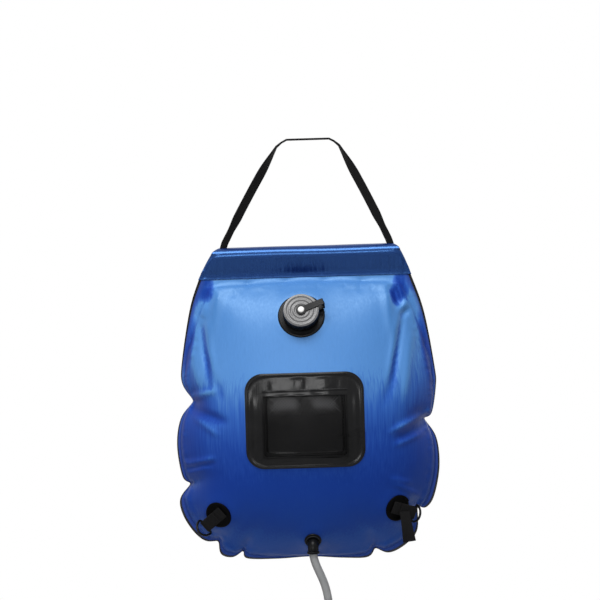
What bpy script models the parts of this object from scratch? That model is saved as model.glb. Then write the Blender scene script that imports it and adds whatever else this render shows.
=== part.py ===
"""Camp shower bag: a welded film bag on a webbing strap, with a screw filler, a mesh
pocket, two D-ring anchors, and a hose that ends in a shower head with a tap.

Metres, +Z up. The origin is under the strap, where the hand or a hook bears. The bag
faces -Y, and everything below the strap hangs from the line where the webbing bends.
"""

import math

import bmesh
import bpy
from mathutils import Matrix, Vector

# Fit and film
seat_gap = 0.0003
running_gap = 0.0004
film = 0.0008
drape_lift = 0.0005
cut_overrun = 0.004
merge_distance = 0.00001
weld_share = 0.001
smooth_angle = math.radians(40)

# Bag
body_width = 0.384
axis_size_share = 0.05
body_height = 0.457
hand_to_sleeve = 0.154
hand_shift = 0.0124
front_depth = 0.082
back_depth = 0.096
lean_share = 0.036
weld_width = 0.0065
top_tuck = 0.0145
bulge_power_share = 0.6
bulge_centre_share = 0.62

# The border as shares of half the width and of the height, from the top left down,
# along the bottom and up the right side. Each run is a lobe between two puckers.
lobe_shares = (
    ((-0.777, 0.079), (-0.868, 0.189), (-0.943, 0.361), (-0.945, 0.430), (-0.862, 0.486)),
    ((-0.862, 0.486), (-0.965, 0.542), (-0.999, 0.627), (-0.965, 0.727), (-0.902, 0.750)),
    ((-0.902, 0.750), (-0.988, 0.798), (-0.969, 0.851), (-0.892, 0.905), (-0.804, 0.936),
     (-0.705, 0.937)),
    ((-0.705, 0.937), (-0.690, 0.980), (-0.600, 0.991), (-0.516, 0.970)),
    ((-0.516, 0.970), (-0.494, 0.996), (-0.260, 1.000), (0.000, 0.996), (0.240, 1.003),
     (0.430, 1.003), (0.488, 0.974)),
    ((0.488, 0.974), (0.593, 0.991), (0.720, 0.966), (0.812, 0.921), (0.819, 0.842)),
    ((0.819, 0.842), (0.881, 0.850), (0.947, 0.814), (0.995, 0.720), (0.978, 0.626),
     (0.884, 0.561)),
    ((0.884, 0.561), (0.947, 0.547), (0.985, 0.460), (0.980, 0.400), (0.9085, 0.218),
     (0.800, 0.079)),
)
lobe_steps = 2
top_edge_steps = 5
ring_shares = (0.965, 0.87, 0.72, 0.52, 0.28)
rim_smoothing = 9
pucker_fade = 6
solve_rounds = 8
settle_rounds = 6
least_angle = 1e-9

# Top sleeve and its stiffener
tube_radius = 0.0115
tube_wall = 0.0018
tube_inset = 0.0195
sleeve_height = 0.046
sleeve_weld = 0.012
sleeve_centre = 0.0065
sleeve_ear_shares = (-0.664, 0.716)
sleeve_foot_shares = (-0.800, 0.822)
sleeve_arc_start = math.radians(-35)
sleeve_arc_steps = 7
sleeve_length_steps = 8
tube_steps = 24
slot_length = 0.013

# Strap
strap_width = 0.018
strap_thickness = 0.0022
strap_neck_width = 0.011
strap_neck_length = 0.0175
grip_length = 0.080
strap_exit_gap = 0.0065
strap_bow = 0.002
strap_twist = math.radians(28)
strap_end_round = 0.0055
strap_flare = 0.014
strap_turn_length = 0.026
leg_steps = 9
core_turn_radius = 0.007
core_turn_steps = 3
grip_flat_share = 0.85
spread_shares = (-1.0, -0.5, 0.0, 0.5, 1.0)

# Filler, seen along its own axis
filler_shift = -0.0045
filler_drop = 0.1020
neck_radius = 0.020
neck_wall = 0.0025
neck_rise = 0.0125
neck_depth = 0.006
neck_collar = 0.004
neck_collar_height = 0.0010
filler_flange_radius = 0.034
filler_flange_film = 0.0012
cap_radius = 0.0265
cap_rib = 0.0007
cap_ribs = 16
cap_top = 0.0024
gasket_height = 0.0016
gasket_width = 0.0045
disc_radius = 0.0256
disc_height = 0.0011
disc_ring_height = 0.0005
disc_rings = 3
pin_radius = 0.0026
pin_head_radius = 0.0048
pin_head_height = 0.0022
leash_height = 0.0013
leash_width = 0.0088
leash_eye_radius = 0.0072
leash_ring_width = 0.0034
leash_reach = 0.0355
leash_angle = math.radians(22)
filler_steps = 32
small_steps = 16
leash_steps = 24
pin_steps = 20
filler_flange_rings = 3
rib_steps = 4

# Mesh pocket
pocket_shift = -0.0037
pocket_drop = 0.2525
pocket_width = 0.171
pocket_height = 0.1367
pocket_corner = 0.026
pocket_film = 0.0008
pocket_rim_width = 0.0045
pocket_rim_height = 0.0012
pocket_mouth_depth = 0.0075
pocket_border = 0.006
net_width = 0.119
net_height = 0.086
net_drop = 0.009
net_bar = 0.0013
net_thickness = 0.0009
net_columns = 12
net_rows = 9
binding_height = 0.010
binding_columns = 10
binding_rows = 2
pocket_corner_steps = 4
pocket_side_steps = 6
border_side_steps = 8
border_corner_steps = 3
border_bottom_steps = 10
# Each ring of the patch: its share of the outline and how far it stands on the rim
pocket_inner_shares = (0.80, 0.62, 0.44, 0.24)
pocket_rim_shares = ((0.3, 1), (0.8, 1), (1.2, 0))

# Anchors
left_anchor_inset = 0.059
left_anchor_rise_share = 0.1521
right_anchor_inset = 0.065
right_anchor_rise_share = 0.1575
anchor_radius = 0.020
anchor_film = 0.0015
anchor_steps = 24
anchor_rings = 2
tab_width = 0.018
tab_thickness = 0.0012
tab_start = 0.011
tab_return = 0.013
ring_wire_radius = 0.0017
ring_inner_width = 0.021
ring_inner_depth = 0.016
ring_offset = 0.026
left_tab_turn = math.radians(-45)
right_tab_turn = math.radians(65)
ring_turn = math.radians(-50)
tail_length = 0.044
tail_width = 0.016
tail_flare = 0.003
tail_thickness = 0.0012
tail_start_shares = (0.405, -0.18)
tail_steps = 6
tab_fold_steps = 6
bow_steps = 12
ring_corner_share = 1.6
bow_start_share = 0.7

# Outlet
outlet_shift = 0.0027
outlet_rise = 0.0293
outlet_flange_radius = 0.0125
outlet_flange_film = 0.0012
spigot_radius = 0.0065
spigot_bore = 0.004
spigot_collar = 0.0105
spigot_collar_height = 0.0012
spigot_depth = 0.006
spigot_length = 0.003
elbow_radius = 0.0078
elbow_drop = 0.001
elbow_bend = 0.0058
washer_height = 0.0008
collar_wall = 0.0026
hose_collar_height = 0.004
tap_collar_height = 0.010
outlet_steps = 20
outlet_flange_rings = 2
elbow_knee_share = 0.72
elbow_steps = 5

# Hose: the centre line from the elbow down, as offsets from the elbow's mouth
hose_radius = 0.006
hose_route = (
    (0.0000, 0.0000, 0.0000), (0.0001, 0.0000, -0.0060), (0.0012, 0.0000, -0.0120),
    (0.0033, 0.0000, -0.0190), (0.0061, 0.0000, -0.0260), (0.0091, 0.0000, -0.0330),
    (0.0120, 0.0000, -0.0400), (0.0149, 0.0000, -0.0480), (0.0171, 0.0000, -0.0560),
    (0.0187, 0.0000, -0.0640), (0.0199, 0.0000, -0.0720), (0.0209, 0.0002, -0.0800),
    (0.0219, 0.0010, -0.0900), (0.0229, 0.0031, -0.1040), (0.0236, 0.0075, -0.1220),
    (0.0234, 0.0173, -0.1500), (0.0220, 0.0303, -0.1800), (0.0195, 0.0440, -0.2100),
    (0.0164, 0.0566, -0.2400), (0.0131, 0.0660, -0.2700), (0.0098, 0.0709, -0.3000),
    (0.0069, 0.0720, -0.3300), (0.0049, 0.0720, -0.3600), (0.0041, 0.0720, -0.3800),
    (0.0040, 0.0720, -0.3920), (0.0040, 0.0720, -0.4040),
)
hose_points = 28
hose_span_steps = 8
collar_straight_share = 1.2

# Tap and shower head, measured down from the hose's end
tap_radius = 0.0105
tap_length = 0.032
tap_bore = 0.004
tap_boss_radius = 0.0085
tap_boss_reach = 0.0145
spindle_radius = 0.0055
spindle_reach_share = 0.7
spindle_port_share = 0.8
lever_length = 0.024
lever_width = 0.009
lever_thickness = 0.0035
lever_gap = 0.0006
lever_hub_share = 0.72
lever_steps = 10
tap_drop_share = 0.5
tap_soft_share = 0.15
screw_radius = 0.0016
screw_head_radius = 0.0032
screw_head_height = 0.0014
screw_crown_share = 0.7
head_radius = 0.034
head_neck_radius = 0.0125
head_length = 0.036
head_wall = 0.002
rose_thickness = 0.0025
rose_hole_radius = 0.0011
rose_ring_counts = (6, 12)
rose_seat_width = 0.0025
seal_height = 0.0012
head_steps = 24
rose_hole_steps = 6
flare_shares = ((0.00, 0.00), (0.12, 0.20), (0.34, 0.42), (0.68, 0.62), (1.00, 0.80))

blue_film = (0.035, 0.12, 0.50)
black_film = (0.012, 0.012, 0.016)
black_webbing = (0.015, 0.014, 0.016)
black_plastic = (0.014, 0.015, 0.017)
grey_plastic = (0.42, 0.43, 0.45)
white_plastic = (0.75, 0.75, 0.75)
clear_plastic = (0.70, 0.74, 0.76)
steel = (0.55, 0.56, 0.58)


def clear_scene():
    for old in list(bpy.data.objects):
        bpy.data.objects.remove(old, do_unlink=True)


def new_collection(name):
    group = bpy.data.collections.new(name)
    bpy.context.scene.collection.children.link(group)
    return group


def finish_material(name, colour, roughness, metallic=0.0):
    found = bpy.data.materials.get(name)
    if found:
        return found
    finish = bpy.data.materials.new(name)
    finish.use_nodes = True
    shader = finish.node_tree.nodes["Principled BSDF"]
    shader.inputs["Base Color"].default_value = (*colour, 1)
    shader.inputs["Roughness"].default_value = roughness
    shader.inputs["Metallic"].default_value = metallic
    return finish


def blue():
    return finish_material("blue_film", blue_film, 0.30)


def dark_film():
    return finish_material("black_film", black_film, 0.35)


def webbing():
    return finish_material("black_webbing", black_webbing, 0.85)


def dark_plastic():
    return finish_material("black_plastic", black_plastic, 0.40)


def grey():
    return finish_material("grey_plastic", grey_plastic, 0.35, 0.4)


def white():
    return finish_material("white_plastic", white_plastic, 0.40)


def clear():
    return finish_material("clear_plastic", clear_plastic, 0.12)


def metal():
    return finish_material("steel", steel, 0.30, 1.0)


def add_object(name, data, finish, parent=None, group=None):
    made = bpy.data.objects.new(name, data)
    if finish:
        made.data.materials.append(finish)
    made.parent = parent
    (group or parts).objects.link(made)
    return made


def add_axis(name, place, turn=None, parent=None):
    axis = bpy.data.objects.new(name, None)
    axis.empty_display_size = body_width * axis_size_share
    parts.objects.link(axis)
    axis.parent = parent
    frame = turn.to_4x4() if turn else Matrix.Identity(4)
    axis.matrix_basis = Matrix.Translation(place) @ frame
    bpy.context.view_layer.update()
    return axis


def smooth_shade(made):
    made.data.shade_smooth()
    made.data.set_sharp_from_angle(angle=smooth_angle)


def thicken(made, thickness, offset):
    solid = made.modifiers.new("thickness", "SOLIDIFY")
    solid.thickness = thickness
    solid.offset = offset
    solid.use_even_offset = True


def cut(made, cutter, operation="DIFFERENCE"):
    hole = made.modifiers.new("cut", "BOOLEAN")
    hole.operation = operation
    hole.solver = "EXACT"
    hole.object = cutter


def as_cutter(made):
    for group in list(made.users_collection):
        group.objects.unlink(made)
    cutters.objects.link(made)
    made.hide_render = True
    made.display_type = "WIRE"
    return made


def surface_mesh(name, rings, closed=False, centre=None, flip=False):
    """A loft through rings of points, as an open surface or a fan to a centre."""
    mesh = bpy.data.meshes.new(name)
    shape = bmesh.new()
    rows = [[shape.verts.new(point) for point in ring] for ring in rings]
    for near, far in zip(rows, rows[1:]):
        count = len(near) if closed else len(near) - 1
        for i in range(count):
            j = (i + 1) % len(near)
            corners = (near[i], near[j], far[j], far[i])
            shape.faces.new(corners[::-1] if flip else corners)
    if centre is not None:
        tip = shape.verts.new(centre)
        last = rows[-1]
        for i in range(len(last)):
            corners = (last[i], last[(i + 1) % len(last)], tip)
            shape.faces.new(corners[::-1] if flip else corners)
    shape.to_mesh(mesh)
    shape.free()
    return mesh


def closed_loft(name, rings, flip=False):
    """A solid through closed rings, with a flat cap on each end."""
    mesh = surface_mesh(name, rings, closed=True, flip=flip)
    shape = bmesh.new()
    shape.from_mesh(mesh)
    shape.verts.ensure_lookup_table()
    count = len(rings[0])
    first = list(shape.verts[:count])
    last = list(shape.verts[-count:])
    shape.faces.new(first if flip else first[::-1])
    shape.faces.new(last[::-1] if flip else last)
    shape.to_mesh(mesh)
    shape.free()
    return mesh


def turned(name, profile, finish, parent, steps, group=None):
    """A closed profile of (radius, height) points, down its outer side, spun round Z."""
    mesh = bpy.data.meshes.new(name)
    shape = bmesh.new()
    points = [shape.verts.new((radius, 0, height)) for radius, height in profile]
    open_at_axis = profile[0][0] == 0 and profile[-1][0] == 0
    for a, b in zip(points, points[1:]):
        shape.edges.new((a, b))
    if not open_at_axis:
        shape.edges.new((points[-1], points[0]))
    shape.to_mesh(mesh)
    shape.free()
    made = add_object(name, mesh, finish, parent, group)
    spin = made.modifiers.new("spin", "SCREW")
    spin.axis = "Z"
    spin.steps = steps
    spin.render_steps = steps
    spin.use_merge_vertices = True
    spin.merge_threshold = merge_distance
    spin.use_smooth_shade = True
    return made


def ring_profile(inner, outer, low, high):
    return ((inner, high), (outer, high), (outer, low), (inner, low))


def rod(name, radius, low, high, finish, parent, steps, group=None):
    profile = ((0, high), (radius, high), (radius, low), (0, low))
    return turned(name, profile, finish, parent, steps, group)


def box(name, size, place, finish, parent, group=None):
    mesh = bpy.data.meshes.new(name)
    shape = bmesh.new()
    bmesh.ops.create_cube(shape, size=1)
    bmesh.ops.scale(shape, vec=size, verts=shape.verts)
    bmesh.ops.translate(shape, vec=place, verts=shape.verts)
    shape.to_mesh(mesh)
    shape.free()
    return add_object(name, mesh, finish, parent, group)


def smooth_run(points, steps):
    """Points on a smooth curve through the given ones, a few to each span."""
    ends = [points[0] * 2 - points[1]] + list(points) + [points[-1] * 2 - points[-2]]
    run = []
    for before, start, end, after in zip(ends, ends[1:], ends[2:], ends[3:]):
        for step in range(steps):
            t = step / steps
            bend = (before * 2 - start * 5 + end * 4 - after) * t * t
            twist = (start * 3 - before - end * 3 + after) * t * t * t
            run.append((start * 2 + (end - before) * t + bend + twist) / 2)
    run.append(points[-1])
    return run


def body_point(x_share, z_share):
    half_width = body_width / 2
    return Vector((x_share * half_width, -hand_to_sleeve - z_share * body_height))


def border_points():
    """The bag's border in X and Z, one closed round without a repeated point."""
    border = []
    for lobe in lobe_shares:
        run = smooth_run([body_point(*share) for share in lobe], lobe_steps)
        border += run[:-1]
    last = body_point(*lobe_shares[-1][-1])
    first = body_point(*lobe_shares[0][0])
    for step in range(top_edge_steps):
        border.append(last.lerp(first, step / top_edge_steps))
    return border


def bulge_centre():
    return body_point(0, bulge_centre_share)


def polar_border(border):
    """Angle, radius and smoothed radius of each border point round the bulge's centre."""
    centre = bulge_centre()
    arms = [point - centre for point in border]
    radii = [arm.length for arm in arms]
    count = len(arms)
    reach = range(-rim_smoothing, rim_smoothing + 1)
    soft = [sum(radii[(i + k) % count] for k in reach) / len(reach) for i in range(count)]
    angles = [math.atan2(arm.y, arm.x) % math.tau for arm in arms]
    return sorted(zip(angles, radii, soft))


def border_radii(angle):
    """The border's true and smoothed radius at any angle."""
    angle %= math.tau
    for (a0, r0, s0), (a1, r1, s1) in zip(border_polar, border_polar[1:]):
        if a0 <= angle <= a1:
            t = (angle - a0) / max(a1 - a0, least_angle)
            return r0 + (r1 - r0) * t, s0 + (s1 - s0) * t
    (a0, r0, s0), (a1, r1, s1) = border_polar[-1], border_polar[0]
    t = ((angle - a0) % math.tau) / ((a1 - a0) % math.tau)
    return r0 + (r1 - r0) * t, s0 + (s1 - s0) * t


def flange_share(radius, angle):
    """Where the flat border ends and the bulge starts, as a share of the radius."""
    upright = max(0.0, math.sin(angle)) ** 2
    width = weld_width + (top_tuck - weld_width) * upright
    return 1 - width / radius


def blend_radius(share, radius, soft):
    return share * (soft + (radius - soft) * share ** pucker_fade)


def radius_share(x, z):
    """How far out a point lies, 0 at the bulge's centre and 1 at the border."""
    arm = Vector((x, z)) - bulge_centre()
    angle = math.atan2(arm.y, arm.x)
    radius, soft = border_radii(angle)
    share = min(1.0, arm.length / soft)
    for _ in range(solve_rounds):
        miss = blend_radius(share, radius, soft) - arm.length
        slope = soft + (pucker_fade + 1) * (radius - soft) * share ** pucker_fade
        share -= miss / slope
    return share, flange_share(radius, angle)


def bulge(share, edge):
    inside = max(0.0, 1 - (share / edge) ** 2)
    return inside ** bulge_power_share


def lean(z):
    """How far back the border hangs at a height, so that the weight is under the strap."""
    return lean_share * max(0.0, -hand_to_sleeve - sleeve_height - z)


def front_surface(x, z):
    """A point on the inside of the front sheet."""
    share, edge = radius_share(x, z)
    return Vector((x, lean(z) - seat_gap / 2 - front_depth * bulge(share, edge), z))


def front_frame(x, z):
    """Place and turn of a fitting on the front sheet: its Z stands off the sheet."""
    step = film
    right = front_surface(x + step, z) - front_surface(x - step, z)
    up = front_surface(x, z + step) - front_surface(x, z - step)
    outward = right.cross(up).normalized()
    side = up.cross(outward).normalized()
    upward = outward.cross(side)
    turn = Matrix((side, upward, outward)).transposed()
    return front_surface(x, z) + outward * film, turn


def lifted(x, z, lift):
    place, turn = front_frame(x, z)
    return place + turn.col[2] * lift


def settled(flat, outward, lift):
    """A point over the front sheet, reached by going down from a plane along its axis."""
    depth = 0
    for _ in range(settle_rounds):
        point = flat - outward * depth
        miss = point.y - front_surface(point.x, point.z).y
        depth -= miss * abs(outward.y)
    steep = front_frame(point.x, point.z)[1].col[2].dot(outward)
    return flat + outward * ((film + lift) / steep - depth)


def drop_to_z(drop):
    return -hand_to_sleeve - drop


def rise_to_z(rise):
    """A height given from the bag's foot."""
    return -hand_to_sleeve - body_height + rise


def bag_panel(name, depth, side, finish):
    """One sheet: a flat border and a bulge, thickened outwards."""
    centre = bulge_centre()
    outer, inner = [], []
    rows = [[] for _ in ring_shares]
    inside = side * seat_gap / 2
    for point in border:
        arm = point - centre
        angle = math.atan2(arm.y, arm.x)
        radius, soft = border_radii(angle)
        edge = flange_share(radius, angle)
        outer.append(Vector((point.x, inside + lean(point.y), point.y)))
        for share, row in zip((edge, *[edge * s for s in ring_shares]), (inner, *rows)):
            reach = centre + arm.normalized() * blend_radius(share, radius, soft)
            level = inside + side * depth * bulge(share, edge)
            row.append(Vector((reach.x, level + lean(reach.y), reach.y)))
    tip = Vector((centre.x, inside + side * depth + lean(centre.y), centre.y))
    mesh = surface_mesh(name, [outer, inner, *rows], closed=True, centre=tip, flip=side > 0)
    made = add_object(name, mesh, finish, bag_axis)
    thicken(made, film, 1)
    smooth_shade(made)
    return made


def front_panel():
    made = bag_panel("front_panel", front_depth, -1, blue())
    reach = neck_depth + neck_rise
    hole = rod("filler_hole", neck_radius + running_gap, -reach, reach, None, filler_axis,
               filler_steps, cutters)
    cut(made, as_cutter(hole))
    reach = spigot_depth + spigot_length
    hole = rod("outlet_hole", spigot_radius + running_gap, -reach, reach, None, outlet_axis,
               outlet_steps, cutters)
    cut(made, as_cutter(hole))
    return made


def back_panel():
    return bag_panel("back_panel", back_depth, 1, dark_film())


def tube_height():
    return -hand_to_sleeve - sleeve_radius


def sleeve_profile():
    """The tunnel's outside in Y and Z, from the front weld over the top to the back."""
    foot = 1.5 * seat_gap + 2 * film
    low = -hand_to_sleeve - sleeve_height
    shoulder = low + sleeve_weld
    front = [(-foot, low), (-foot, shoulder)]
    for step in range(sleeve_arc_steps + 1):
        angle = sleeve_arc_start + (math.pi / 2 - sleeve_arc_start) * step / sleeve_arc_steps
        y = -sleeve_radius * math.cos(angle)
        front.append((y, tube_height() + sleeve_radius * math.sin(angle)))
    back = [(-y, z) for y, z in front[-2::-1]]
    return front + back


def sleeve_ends(z):
    """Where the sleeve's slanting ends are at a height."""
    down = (-hand_to_sleeve - z) / sleeve_height
    half = body_width / 2
    ends = []
    for ear, foot in zip(sleeve_ear_shares, sleeve_foot_shares):
        share = ear + (foot - ear) * down
        ends.append(share * half)
    return ends


def tube_length():
    """The stiffener ends a named inset inside the sleeve's upper corners."""
    left_share, right_share = sleeve_ear_shares
    return (right_share - left_share) * body_width / 2 - 2 * tube_inset


def strap_half():
    """From the sleeve's centre to where the strap comes out, just past the tube."""
    return tube_length() / 2 + strap_exit_gap


def top_sleeve():
    rings = []
    for y, z in sleeve_profile():
        left, right = sleeve_ends(z)
        steps = [left + (right - left) * i / sleeve_length_steps for i in
                 range(sleeve_length_steps + 1)]
        rings.append([Vector((x, y, z)) for x in steps])
    made = add_object("top_sleeve", surface_mesh("top_sleeve", rings), blue(), bag_axis)
    thicken(made, film, -1)
    smooth_shade(made)
    for end, word in ((-1, "left"), (1, "right")):
        x = sleeve_centre + end * strap_half()
        size = (slot_length, strap_neck_width + 2 * film, sleeve_radius)
        place = (x, 0, -hand_to_sleeve)
        slot = box(f"{word}_slot", size, place, None, bag_axis, cutters)
        cut(made, as_cutter(slot))
    return made


def stiffener_tube():
    inner = tube_radius - tube_wall
    half = tube_length() / 2
    made = turned("stiffener_tube", ring_profile(inner, tube_radius, -half, half),
                  white(), bag_axis, tube_steps)
    made.location = (sleeve_centre, 0, tube_height())
    made.rotation_euler = (0, math.pi / 2, 0)
    return made


def ribbon(name, path, widths, twists, thickness, finish, parent):
    """Webbing along a path in X and Z, its width along Y but for the twist."""
    left, right = [], []
    for i, point in enumerate(path):
        ahead = path[min(i + 1, len(path) - 1)] - path[max(i - 1, 0)]
        ahead.normalize()
        face = Vector((-ahead.z, 0, ahead.x))
        across = Vector((0, 1, 0)) * math.cos(twists[i]) + face * math.sin(twists[i])
        left.append(point - across * widths[i] / 2)
        right.append(point + across * widths[i] / 2)
    middle = [(a + b) / 2 for a, b in zip(left, right)]
    mesh = surface_mesh(name, [left, middle, right])
    made = add_object(name, mesh, finish, parent)
    thicken(made, thickness, 0)
    return made


def hinge_height():
    """The line where the webbing bends, just over the sleeve."""
    return -hand_to_sleeve + strap_end_round + 2 * seat_gap + film


def strap_leg(end):
    """Points, widths and twists of one leg, from its foot up to the grip."""
    foot = Vector((sleeve_centre - hand_shift + end * strap_half(), 0, hinge_height()))
    head = Vector((end * grip_length / 2, 0, strap_thickness / 2))
    outward = Vector((end * strap_bow, 0, 0))
    points, widths, twists = [], [], []
    length = (head - foot).length
    for step in range(leg_steps + 1):
        t = step / leg_steps
        swell = math.sin(math.pi * t)
        points.append(foot.lerp(head, t) + outward * swell)
        past_neck = max(0.0, t * length - strap_neck_length)
        grown = min(1.0, past_neck / (strap_flare * 2))
        widths.append(strap_neck_width + (strap_width - strap_neck_width) * grown)
        from_grip = min(1.0, (1 - t) * length / strap_turn_length)
        twists.append(end * strap_twist * grown * from_grip)
    return points, widths, twists


def handle_strap():
    points, widths, twists = strap_leg(-1)
    grip = grip_length / 2
    stations = (-grip, -grip * grip_flat_share, 0, grip * grip_flat_share, grip)
    points = points[:-1] + [Vector((x, 0, strap_thickness / 2)) for x in stations]
    widths = widths[:-1] + [strap_width] * len(stations)
    twists = twists[:-1] + [0] * len(stations)
    right = strap_leg(1)
    points += right[0][-2::-1]
    widths += right[1][-2::-1]
    twists += right[2][-2::-1]
    rows = round_strap_ends(points, widths, twists)
    mesh = surface_mesh("handle_strap", rows)
    made = add_object("handle_strap", mesh, webbing())
    thicken(made, strap_thickness, 0)
    return made


def round_strap_ends(points, widths, twists):
    """Rows of points across the strap; its feet end in half rounds on the bending line."""
    rows = [[] for _ in spread_shares]
    last = len(points) - 1
    for i, point in enumerate(points):
        ahead = (points[min(i + 1, last)] - points[max(i - 1, 0)]).normalized()
        face = Vector((-ahead.z, 0, ahead.x))
        across = Vector((0, 1, 0)) * math.cos(twists[i]) + face * math.sin(twists[i])
        for share, row in zip(spread_shares, rows):
            reach = 0
            if i in (0, last):
                rise = math.sqrt(max(0.0, 1 - share * share)) * (widths[i] - strap_thickness / 2) / 2
                reach = -rise if i == 0 else rise
            row.append(point + across * share * widths[i] / 2 + ahead * reach)
    return rows


def strap_core():
    """The strap's lower run: through the tube and up through both slots."""
    level = tube_height()
    top = hinge_height() - strap_end_round - seat_gap
    half = strap_half()
    lean = core_turn_radius / 2
    path = []
    for end in (-1, 1):
        x = sleeve_centre + end * half
        turn = x - end * core_turn_radius + end * lean
        side = []
        for step in range(core_turn_steps + 1):
            angle = math.pi / 2 * step / core_turn_steps
            side.append(Vector((turn + end * core_turn_radius * math.sin(angle), 0,
                                level + core_turn_radius * (1 - math.cos(angle)))))
        side.append(Vector((x, 0, top)))
        path = side[::-1] + path if end < 0 else path + side
    narrow = len(path) // 2
    bore = tube_radius - tube_wall
    wide = 2 * bore - 4 * running_gap
    widths = []
    for i in range(len(path)):
        from_end = min(i, len(path) - 1 - i)
        grown = min(1.0, from_end / (narrow - 1))
        widths.append(strap_neck_width + (wide - strap_neck_width) * grown)
    return ribbon("strap_core", path, widths, [0] * len(path), strap_thickness, webbing(), bag_axis)


def draped_disc(name, x, z, inner, outer, lift, thickness, finish, steps, rings):
    """A round patch that follows the front sheet, with or without a hole."""
    place, turn = front_frame(x, z)
    side, up, outward = turn.col
    rows = []
    for step in range(rings + 1):
        radius = outer + (inner - outer) * step / rings
        if radius == 0:
            break
        row = []
        for i in range(steps):
            angle = math.tau * i / steps
            flat = place + side * radius * math.cos(angle) + up * radius * math.sin(angle)
            row.append(settled(flat, outward, lift))
        rows.append(row)
    tip = settled(place, outward, lift) if inner == 0 else None
    made = add_object(name, surface_mesh(name, rows, closed=True, centre=tip), finish, bag_axis)
    thicken(made, thickness, 1)
    smooth_shade(made)
    return made


def filler_flange():
    inner = neck_radius + running_gap
    return draped_disc("filler_flange", filler_shift, drop_to_z(filler_drop), inner,
                       filler_flange_radius, drape_lift, filler_flange_film, dark_plastic(),
                       filler_steps, filler_flange_rings)


def filler_neck():
    inner = neck_radius - neck_wall
    collar = neck_radius + neck_collar
    low = collar_low()
    high = low + neck_collar_height
    profile = ((inner, neck_rise), (neck_radius, neck_rise), (neck_radius, high), (collar, high),
               (collar, low), (neck_radius, low), (neck_radius, -neck_depth),
               (inner, -neck_depth))
    return turned("filler_neck", profile, dark_plastic(), filler_axis, filler_steps)


def collar_low():
    return drape_lift + filler_flange_film + seat_gap


def leash_low():
    return collar_low() + neck_collar_height + seat_gap


def cap_low():
    return leash_low() + leash_height + seat_gap


def cap_inner_top():
    return neck_rise + gasket_height + 2 * seat_gap


def cap_high():
    return cap_inner_top() + cap_top


def filler_cap():
    """A ribbed cap: rings of points whose radius rises and falls round the skirt."""
    steps = cap_ribs * rib_steps
    bore = neck_radius + running_gap
    soft = cap_top / 3
    sections = ((0, bore, cap_low()), (1, cap_radius, cap_low()),
                (1, cap_radius, cap_high() - soft), (0, cap_radius - soft, cap_high()))
    rings = []
    for ribbed, radius, height in sections:
        row = []
        for i in range(steps):
            angle = math.tau * i / steps
            rib = ribbed * cap_rib * (1 + math.cos(angle * cap_ribs)) / 2
            reach = radius - cap_rib + rib if ribbed else radius
            row.append(Vector((reach * math.cos(angle), reach * math.sin(angle), height)))
        rings.append(row)
    mesh = closed_loft("filler_cap", rings)
    made = add_object("filler_cap", mesh, dark_plastic(), filler_axis)
    bore_cutter = rod("cap_bore", bore, -cap_low(), cap_inner_top(), None, filler_axis,
                      filler_steps, cutters)
    cut(made, as_cutter(bore_cutter))
    pin_cutter = rod("cap_pin_bore", pin_radius + running_gap, 0, cap_high() + cut_overrun, None,
                     filler_axis, small_steps, cutters)
    cut(made, as_cutter(pin_cutter))
    return made


def cap_gasket():
    low = neck_rise + seat_gap
    inner = neck_radius - gasket_width
    return turned("cap_gasket", ring_profile(inner, neck_radius, low, low + gasket_height),
                  dark_plastic(), filler_axis, filler_steps)


def cap_disc():
    low = cap_high() + seat_gap
    high = low + disc_height
    inner = pin_radius + running_gap
    profile = [(inner, high)]
    start = leash_eye_radius + film
    pitch = (disc_radius - start) / disc_rings
    for i in range(disc_rings):
        valley = start + pitch * i
        crest = valley + pitch / 2
        profile += [(valley, high), (crest, high + disc_ring_height)]
    profile += [(disc_radius, high), (disc_radius, low), (inner, low)]
    return turned("cap_disc", profile, grey(), filler_axis, filler_steps)


def leash_eye_low():
    return cap_high() + seat_gap + disc_height + disc_ring_height + seat_gap


def cap_pin():
    eye_high = leash_eye_low() + leash_height
    head = eye_high + seat_gap
    top = head + pin_head_height
    low = cap_inner_top() + seat_gap
    profile = ((0, top), (pin_head_radius / 2, top), (pin_head_radius, head + seat_gap),
               (pin_head_radius, head), (pin_radius, head), (pin_radius, low), (0, low))
    return turned("cap_pin", profile, white(), filler_axis, pin_steps)


def leash_outline():
    """The arm's side view in reach and height: eye level, over the rim, down to the ring."""
    high = leash_eye_low() + leash_height
    low = leash_low()
    inner = leash_reach - leash_height
    return ((0, high), (leash_reach - leash_height, high), (leash_reach, high - leash_height),
            (leash_reach, low), (neck_radius + leash_ring_width, low),
            (neck_radius + leash_ring_width, low + leash_height), (inner, low + leash_height),
            (inner, high - leash_height), (0, high - leash_height))


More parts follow.
